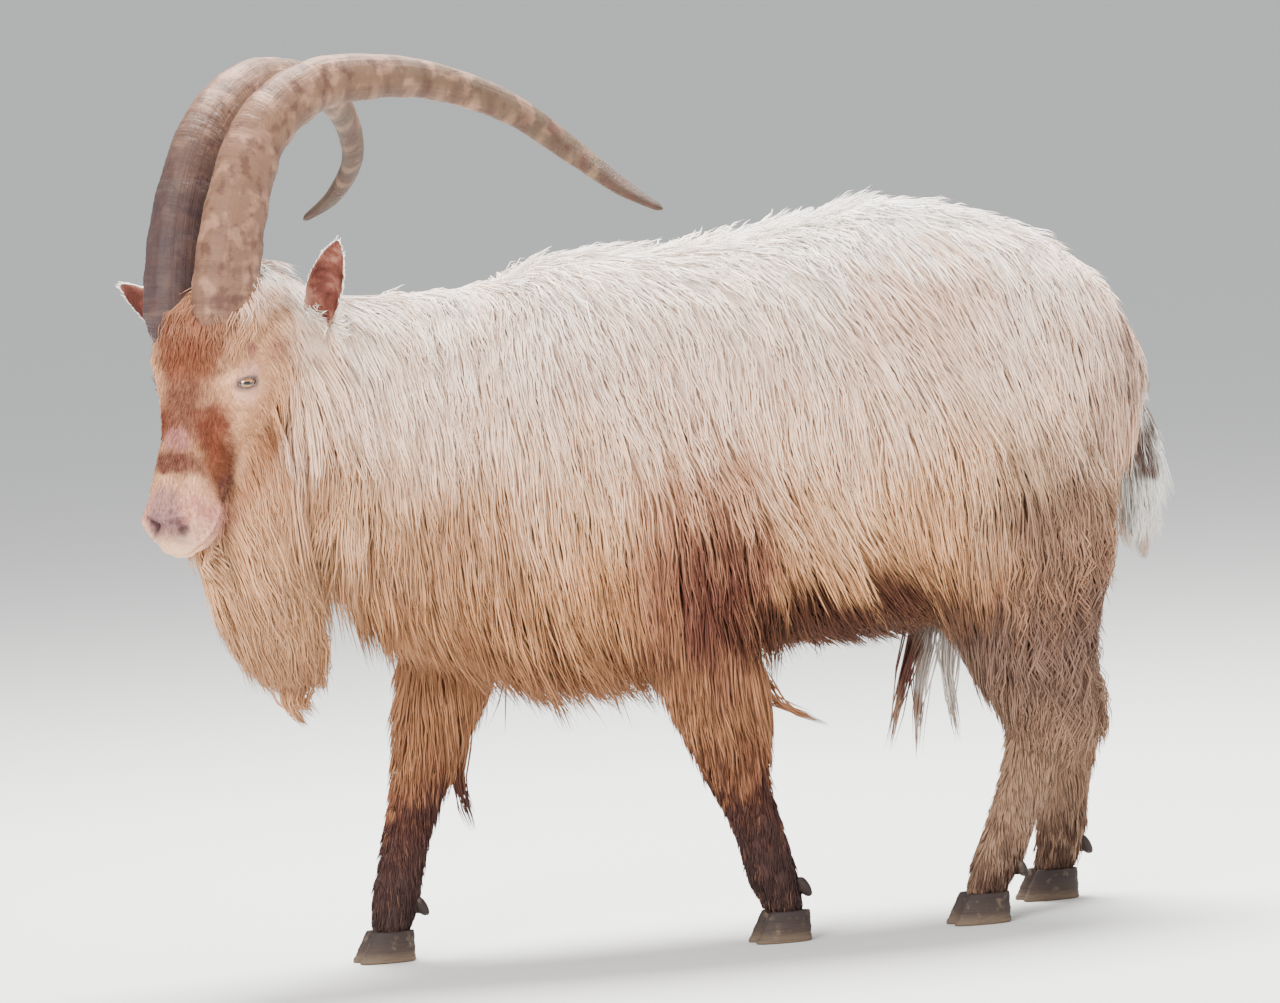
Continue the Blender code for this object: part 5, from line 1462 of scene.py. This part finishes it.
for middle, fall, drift, hairs, shade in HANKS:
    spread = rng.normal(0, 1, (hairs, 3)) * HANK_SPREAD
    along = np.linspace(0, 1, 6)[None, :, None]
    close = 1 - 0.85 * along**0.8
    sway = np.sin(along * 7 + rng.normal(0, 0.6, (hairs, 1, 1))) * 0.006
    reach = 0.75 + 0.3 * rng.random((hairs, 1, 1))
    way = np.concatenate([drift * reach * along**1.6 + sway, 0.4 * sway, -fall * reach * along], 2)
    trails.append(np.array(middle) + spread[:, None] * close + way)
    starts.append(np.array(middle) + spread)
    colours.append(np.full(hairs, shade))
starts, trails, colours = np.vstack(starts), np.concatenate(trails), np.concatenate(colours)
outs = np.tile([0.0, -1.0, 0.0], (len(starts), 1))
widths = np.full(len(starts), HANK_HAIR)
hanks = hair_object("coat_wisps", "trunk", starts, trails, outs, widths, rng.random(len(starts)), colours)
hanks.data.materials.append(fleece)
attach(hanks, "root")
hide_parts("torso_rear")


# Eyes
# A wet ball with a clear bulging front, an amber iris and a level slot for a pupil, between bare grey lid
# rims with a row of short dark lashes along the upper one.
LASHES = 26
LASH_LENGTH = 0.0085
LASH_HALF_WIDTH = 0.00022
RIM_STEPS = 90
RIM_SIDES = 12
IRIS_TONES = ((0.10, (172, 120, 58)), (0.5, (146, 92, 44)), (0.9, (84, 52, 30)))
WHITE_TONES = ((0.3, (120, 96, 84)), (0.7, (84, 62, 54)))
RIM_TONES = ((0.3, (62, 46, 44)), (0.7, (98, 74, 68)))


def revolved(section, rows, sides):
    """A closed net through sections: section(place, angles) gives one ring of points."""
    return closed_tube(np.array([section(place, turns(sides)) for place in rows]))


for side, name in ((LEFT, "left"), (RIGHT, "right")):
    middle, nose, up, out = eye_frame(side)

    def ball_ring(place, angles):
        bulge = 1 + 0.055 * np.exp(-((place / 0.62) ** 2))
        ring = np.outer(np.cos(angles), nose) + np.outer(np.sin(angles), up)
        return from_head(middle + (ring * math.sin(place) + out * math.cos(place)) * BALL_RADIUS * bulge)

    ball = mesh_object(f"eye_{name}", *revolved(ball_ring, np.linspace(0.02, math.pi - 0.02, 72), 72))
    gloss = {"Roughness": 0.10, "Coat Weight": 1.0, "Coat Roughness": 0.02}
    wet, shader, where = paint(f"eye_{name}", gloss)
    off = where.vector("SUBTRACT", tuple(from_head(middle) + SHIFT))
    axes = [tuple(axis @ HEAD_AXES) for axis in (nose, up, out)]
    level, rise, front = (off.vector("DOT_PRODUCT", axis, 1) / BALL_RADIUS for axis in axes)
    level = level * math.cos(EYE_TILT) + rise * math.sin(EYE_TILT)
    rise = rise - level * math.sin(EYE_TILT)
    far = (level * level + rise * rise).math("SQRT")
    fibres = where.spot(level / (far + 0.02), rise / (far + 0.02), far * 0.35).noise(9.0, 4)
    iris = (fibres * 0.8 + far * 0.9 - 0.25).bands(IRIS_TONES)
    colour = iris.blend(where.noise(220, 3).bands(WHITE_TONES), far.smooth(0.60, 0.66))
    colour = colour.blend(tone(34, 22, 16), far.smooth(0.52, 0.60) * far.smooth(0.68, 0.62))
    slot_long, slot_tall = (wire.math("ABSOLUTE").math("POWER", 3.0) for wire in (level * 2.0, rise * 5.2))
    slot = slot_long + slot_tall
    colour = colour.blend((0.004, 0.004, 0.006, 1), slot.smooth(0.62, 0.36) * front.smooth(0.3, 0.5))
    feed(shader, "Base Color", colour)
    bumped(shader, fibres, 0.08, 0.0003)
    ball.data.materials.append(wet)
    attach(ball, "root")
    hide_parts(f"eye_{name}")

    def lid_path(share, lift=0.0):
        """Points along the edge of the lids."""
        tall = np.where(np.sin(share) > 0, OPENING[1], LOWER_OPENING)
        along, across = np.cos(share) * OPENING[0], np.sin(share) * tall
        height = np.sqrt(np.maximum((BALL_RADIUS + 0.0012 + lift) ** 2 - along**2 - across**2, 0))
        return from_head(middle + np.outer(along, nose) + np.outer(across, up) + np.outer(height, out))

    steps = turns(RIM_STEPS)
    edge = lid_path(steps)
    run = unit(np.roll(edge, -1, 0) - np.roll(edge, 1, 0))
    upright = unit(edge - from_head(middle))
    beside = np.cross(run, upright)
    thick = 0.00105 + 0.00025 * np.sin(steps * 9) * np.sin(steps * 4)
    cuts = turns(RIM_SIDES)[:, None]
    ring = upright[:, None] * np.sin(cuts) + beside[:, None] * np.cos(cuts)
    tube = edge[:, None] + ring * thick[:, None, None]
    here = np.arange(RIM_STEPS * RIM_SIDES).reshape(RIM_STEPS, RIM_SIDES)
    there, up_one = np.roll(here, -1, 0), np.roll(here, -1, 1)
    both_on = np.roll(there, -1, 1)
    faces = [np.stack(row, 2).reshape(-1, 3) for row in ((here, there, both_on), (here, both_on, up_one))]
    points, faces = tube.reshape(-1, 3), np.vstack(faces)
    if signed_volume(points, faces) < 0:
        faces = faces[:, ::-1]
    shells = [(points, faces)]
    to_nose, upwards, outwards = nose @ HEAD_AXES, up @ HEAD_AXES, out @ HEAD_AXES
    spread = np.stack([to_nose, upwards, -(nose + up) @ HEAD_AXES]) * LASH_HALF_WIDTH
    bow = np.linspace(0, 1, 5)[:, None]
    for lash in np.linspace(0.5, 2.7, LASHES):
        reach = outwards * 0.7 + upwards * 0.15 + to_nose * 0.5 * math.cos(lash)
        spine = lid_path(np.array([lash]))[0] + reach * bow * LASH_LENGTH + upwards * bow**2 * 0.0045
        shells.append(closed_tube(spine[:, None] + spread[None] * (1.05 - bow)[:, :, None]))
    rim = joined(f"lid_rim_{name}", shells)
    gum, shader, where = paint(f"lid_rim_{name}", {"Roughness": 0.35, "Coat Weight": 0.4})
    feed(shader, "Base Color", where.noise(420, 3).bands(RIM_TONES))
    bumped(shader, where.noise(1500, 2), 0.4, 0.0003)
    rim.data.materials.append(gum)
    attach(rim, "root")
    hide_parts(f"eye_{name}")

# Horns
# Two long horns of keratin that sweep up, back and out from the poll, keeled in front. Each year has left a
# swollen ring, and between the rings there are fine ridges, cracks and worn, darker front edges whose dark
# is partly painted shade. The far horn's lower third is painted darker as painted shade.
HORN_ROOT = np.array([-0.562, -0.120, 0.793])
# Back, out and up from the root, half depth, half width
HORN = (
    (0.020, 0.034, -0.036, 0.0300, 0.0260),
    (0.007, 0.035, -0.002, 0.0440, 0.0330),
    (0.006, 0.036, 0.034, 0.0445, 0.0335),
    (0.030, 0.038, 0.120, 0.0415, 0.0310),
    (0.085, 0.039, 0.209, 0.0370, 0.0275),
    (0.174, 0.048, 0.257, 0.0305, 0.0230),
    (0.274, 0.069, 0.264, 0.0245, 0.0190),
    (0.376, 0.090, 0.250, 0.0205, 0.0165),
    (0.470, 0.124, 0.212, 0.0180, 0.0145),
    (0.534, 0.162, 0.158, 0.0155, 0.0125),
    (0.560, 0.212, 0.112, 0.0115, 0.0100),
    (0.568, 0.266, 0.082, 0.0045, 0.0042),
)
HORN_ROWS = 420
HORN_SIDES = 96
HORN_YEARS = 17
HORN_TONES = (
    (0.0, (92, 64, 52)),
    (0.10, (112, 80, 66)),
    (0.40, (120, 88, 68)),
    (0.75, (90, 74, 58)),
    (0.97, (66, 50, 40)),
)
# How dark the front of each horn is painted, a darker edge with painted shade most on the far horn, and how
# dark its lower third is painted, as painted shade on the far horn alone
FRONT_SHADE_AND_DARK_EDGE = {LEFT: 0.60, RIGHT: 0.9}
LOW_PAINTED_SHADE = {LEFT: 0.0, RIGHT: 0.84}
FLAT_SIDE = {LEFT: 3 * math.pi / 2, RIGHT: math.pi / 2}


def horn_middle(place, side):
    rows = [(step / (len(HORN) - 1), *row) for step, row in enumerate(HORN)]
    back, out, up, deep, wide = eased(rows, place)
    middle = HORN_ROOT - np.outer(back, FORWARD) + np.outer(out, ACROSS_HEAD * -side) + np.outer(up, UP)
    return middle, deep, wide


for side, name in ((LEFT, "left"), (RIGHT, "right")):
    luck = np.random.default_rng(20 + side)
    place = np.linspace(0, 1, HORN_ROWS)
    middle, deep, wide = horn_middle(place, side)
    run = unit(np.gradient(middle, axis=0))
    front = -unit(np.cross(ACROSS_HEAD, run))
    across = np.cross(run, front)
    cuts = turns(HORN_SIDES)
    at = place[:, None]
    # Rings of the years, closer together towards the tip
    years = np.cumsum(luck.uniform(0.8, 1.2, HORN_YEARS))
    years = 0.02 + 0.84 * (years / years[-1]) ** 0.92
    swell = np.zeros((HORN_ROWS, HORN_SIDES))
    fade = 1 - at**1.6
    for year in years:
        slant = 0.006 * np.cos(cuts) + 0.002 * np.sin(cuts * 2 + year * 40)
        gap = (at - year - slant) / 0.011
        lump = np.exp(-(gap**2)) - 0.45 * np.exp(-((gap - 1.5) ** 2) * 1.6)
        strong = 0.45 + 0.55 * np.maximum(np.cos(cuts), 0)
        swell += lump * strong * luck.uniform(0.7, 1.2)
    fine = np.sin(at * 640 + 1.5 * np.cos(cuts) + 2 * np.sin(at * 60))
    fine = fine + 0.6 * np.sin(at * 1130 + 2 * np.sin(cuts))
    flutes = np.sin(cuts * 17 + 2 * np.sin(at * 9)) * 0.5 + np.sin(cuts * 29 + at * 6) * 0.3
    keel = 0.10 * np.exp(-((((cuts + math.pi) % (2 * math.pi) - math.pi) / 0.5) ** 2)) - 0.02
    size = 1.06 - 0.04 * at + fade * (0.066 * swell + 0.0060 * fine) + 0.012 * flutes + keel
    # Rounded off at the tip and where it sinks into the skull
    size = size * np.sqrt(np.clip((1.002 - at) / 0.012, 0.002, 1))
    size = size * np.sqrt(np.clip((at + 0.0005) / 0.030, 0.01, 1))
    flat_side = 1 - 0.07 * np.exp(-(((cuts - FLAT_SIDE[side]) / 0.8) ** 2))
    ring = across[:, None] * (np.sin(cuts) * flat_side)[None, :, None] * (wide[:, None] * size)[:, :, None]
    ring = ring + front[:, None] * np.cos(cuts)[None, :, None] * (deep[:, None] * size)[:, :, None]
    horn = mesh_object(f"horn_{name}", *closed_tube(middle[:, None] + ring))
    table = {"place": np.repeat(place, HORN_SIDES), "front": np.tile(np.cos(cuts), HORN_ROWS)}
    table["ring"] = np.clip(swell, -1, 1).ravel()
    write_on(horn.data, {title: np.append(row, (row[0], row[-1])) for title, row in table.items()})
    keratin, shader, where = paint(f"horn_{name}", {"Specular IOR Level": 0.22})
    far, ahead, ring_height = (where.written(title) for title in ("place", "front", "ring"))
    grain = where.spot(far * 420, ahead * 2.2, where.noise(9) * 3).noise(1.0, 4)
    along_grain = where.spot(far * 9, ahead * 30, where.split(1) * 40).noise(1.0, 5)
    colour = (far + where.noise(22, 3) * 0.35 - 0.17).bands(HORN_TONES)
    # Pale and dark mottling, the darkened front that is partly painted shade, the far horn's foot in painted
    # shade, hollows and crests of the rings, then both grains
    for shade, share in (
        ((168, 126, 102), where.noise(34, 5).smooth(0.50, 0.64) * far.smooth(1.0, 0.6) * 0.60),
        ((76, 46, 40), where.noise(52, 5).smooth(0.52, 0.66) * 0.66),
        # The front: a darker edge with painted shade, most on the far horn
        ((54, 42, 46), ahead.smooth(0.30, 0.85) * FRONT_SHADE_AND_DARK_EDGE[side] * (1 - far)),
        # The lower third of the far horn: painted shade
        ((52, 42, 46), far.smooth(0.46, 0.26) * LOW_PAINTED_SHADE[side]),
        ((74, 50, 44), ring_height.smooth(0.05, -0.40) * 0.70),
        ((160, 128, 102), ring_height.smooth(0.35, 0.9) * 0.30),
        ((70, 50, 44), grain.smooth(0.54, 0.70) * 0.24),
        ((62, 44, 38), along_grain.smooth(0.60, 0.74) * 0.26),
    ):
        colour = colour.blend(tone(*shade), share)
    feed(shader, "Base Color", colour)
    feed(shader, "Roughness", along_grain * 0.3 + 0.42)
    bumped(shader, grain * 0.7 + along_grain * 0.6 + where.noise(120, 4) * 0.8, 0.8, 0.0020)
    horn.data.materials.append(keratin)
    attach(horn, "root")
    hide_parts(f"horn_{name}")

# Hooves
# Each foot stands on two claws of dark keratin, flat on the floor, a finger's breadth apart. Two small dew
# claws sit behind each pastern. Growth lines run round every claw.
CLAW_ROWS = 30
HOOF_TONES = ((0.0, (96, 80, 66)), (0.35, (62, 50, 44)), (1.0, (46, 36, 34)))
for leg, rows in LEGS.items():
    side = side_of(leg)
    top = rows[0][0]
    x, y, half_length = rows[0][1:4]
    shells = []
    for claw in (LEFT, RIGHT):
        heights = np.linspace(0, 1, CLAW_ROWS)
        lean = np.interp(heights, [0, 0.5, 1], [-0.010, -0.005, 0.0])
        long_halves = [half_length + 0.009, half_length + 0.004, half_length - 0.001]
        long_half = np.interp(heights, [0, 0.5, 1], long_halves)
        wide_half = np.interp(heights, [0, 0.5, 1], [0.0140, 0.0130, 0.0112])
        lines = 1 + 0.012 * np.sin(heights * 46 + claw) * (1 - heights) + 0.010 * np.sin(heights * 17)
        sole = np.concatenate([[0.86, 0.965], np.ones(CLAW_ROWS - 2)])
        cuts = turns(64)
        run, out = bent(np.cos(cuts), 2 / 2.5), bent(np.sin(cuts), 2 / 2.5)
        toe = 1 - 0.34 * np.maximum(-run, 0) ** 1.3
        inner = 1 - 0.16 * np.maximum(out * -claw, 0)
        long_way = x + lean[:, None] + run[None] * (long_half * lines * sole)[:, None]
        out_way = side * y + claw * 0.0148 + (out * toe * inner)[None] * (wide_half * lines * sole)[:, None]
        up_way = np.broadcast_to((heights * (top + 0.003))[:, None], long_way.shape)
        up_way = np.where(heights[:, None] > 0.05, up_way, heights[:, None] * 0.02)
        shells.append(closed_tube(np.stack([long_way, out_way, up_way], 2)))
        pastern = eased(rows, np.array([top + 0.030]))
        dew = np.array([pastern[0, 0] + pastern[2, 0] + 0.004, side * y + claw * 0.0125, top + 0.030])

        def dew_ring(place, angles):
            wide = 0.0075 * math.sin(place) ** 0.7
            ring = np.stack([np.cos(angles) * wide, np.sin(angles) * wide * 0.9, 0 * angles], 1)
            return dew + ring + np.array([0.010 * math.cos(place) * 0.5, 0, -0.012 * math.cos(place)])

        shells.append(revolved(dew_ring, np.linspace(0.03, math.pi - 0.03, 16), 24))
    hoof = joined(f"hoof_{leg}", shells)
    shell, shader, where = paint(f"hoof_{leg}", {"Roughness": 0.65, "Specular IOR Level": 0.25})
    lines = where.vector("MULTIPLY", (30, 30, 900)).noise(1.0, 3)
    grain = where.vector("MULTIPLY", (900, 900, 60)).noise(1.0, 3)
    colour = where.split(2).smooth(0.0, 0.034).bands(HOOF_TONES)
    colour = colour.blend(tone(122, 104, 84), where.noise(90, 4).smooth(0.55, 0.75) * 0.45)
    colour = colour.blend(tone(28, 22, 22), lines.smooth(0.55, 0.7) * 0.5)
    feed(shader, "Base Color", colour)
    bumped(shader, lines + grain * 0.6, 0.6, 0.0010)
    hoof.data.materials.append(shell)
    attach(hoof, "root")
    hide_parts(f"{leg}_claw_inner", f"{leg}_claw_outer")

low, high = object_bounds()
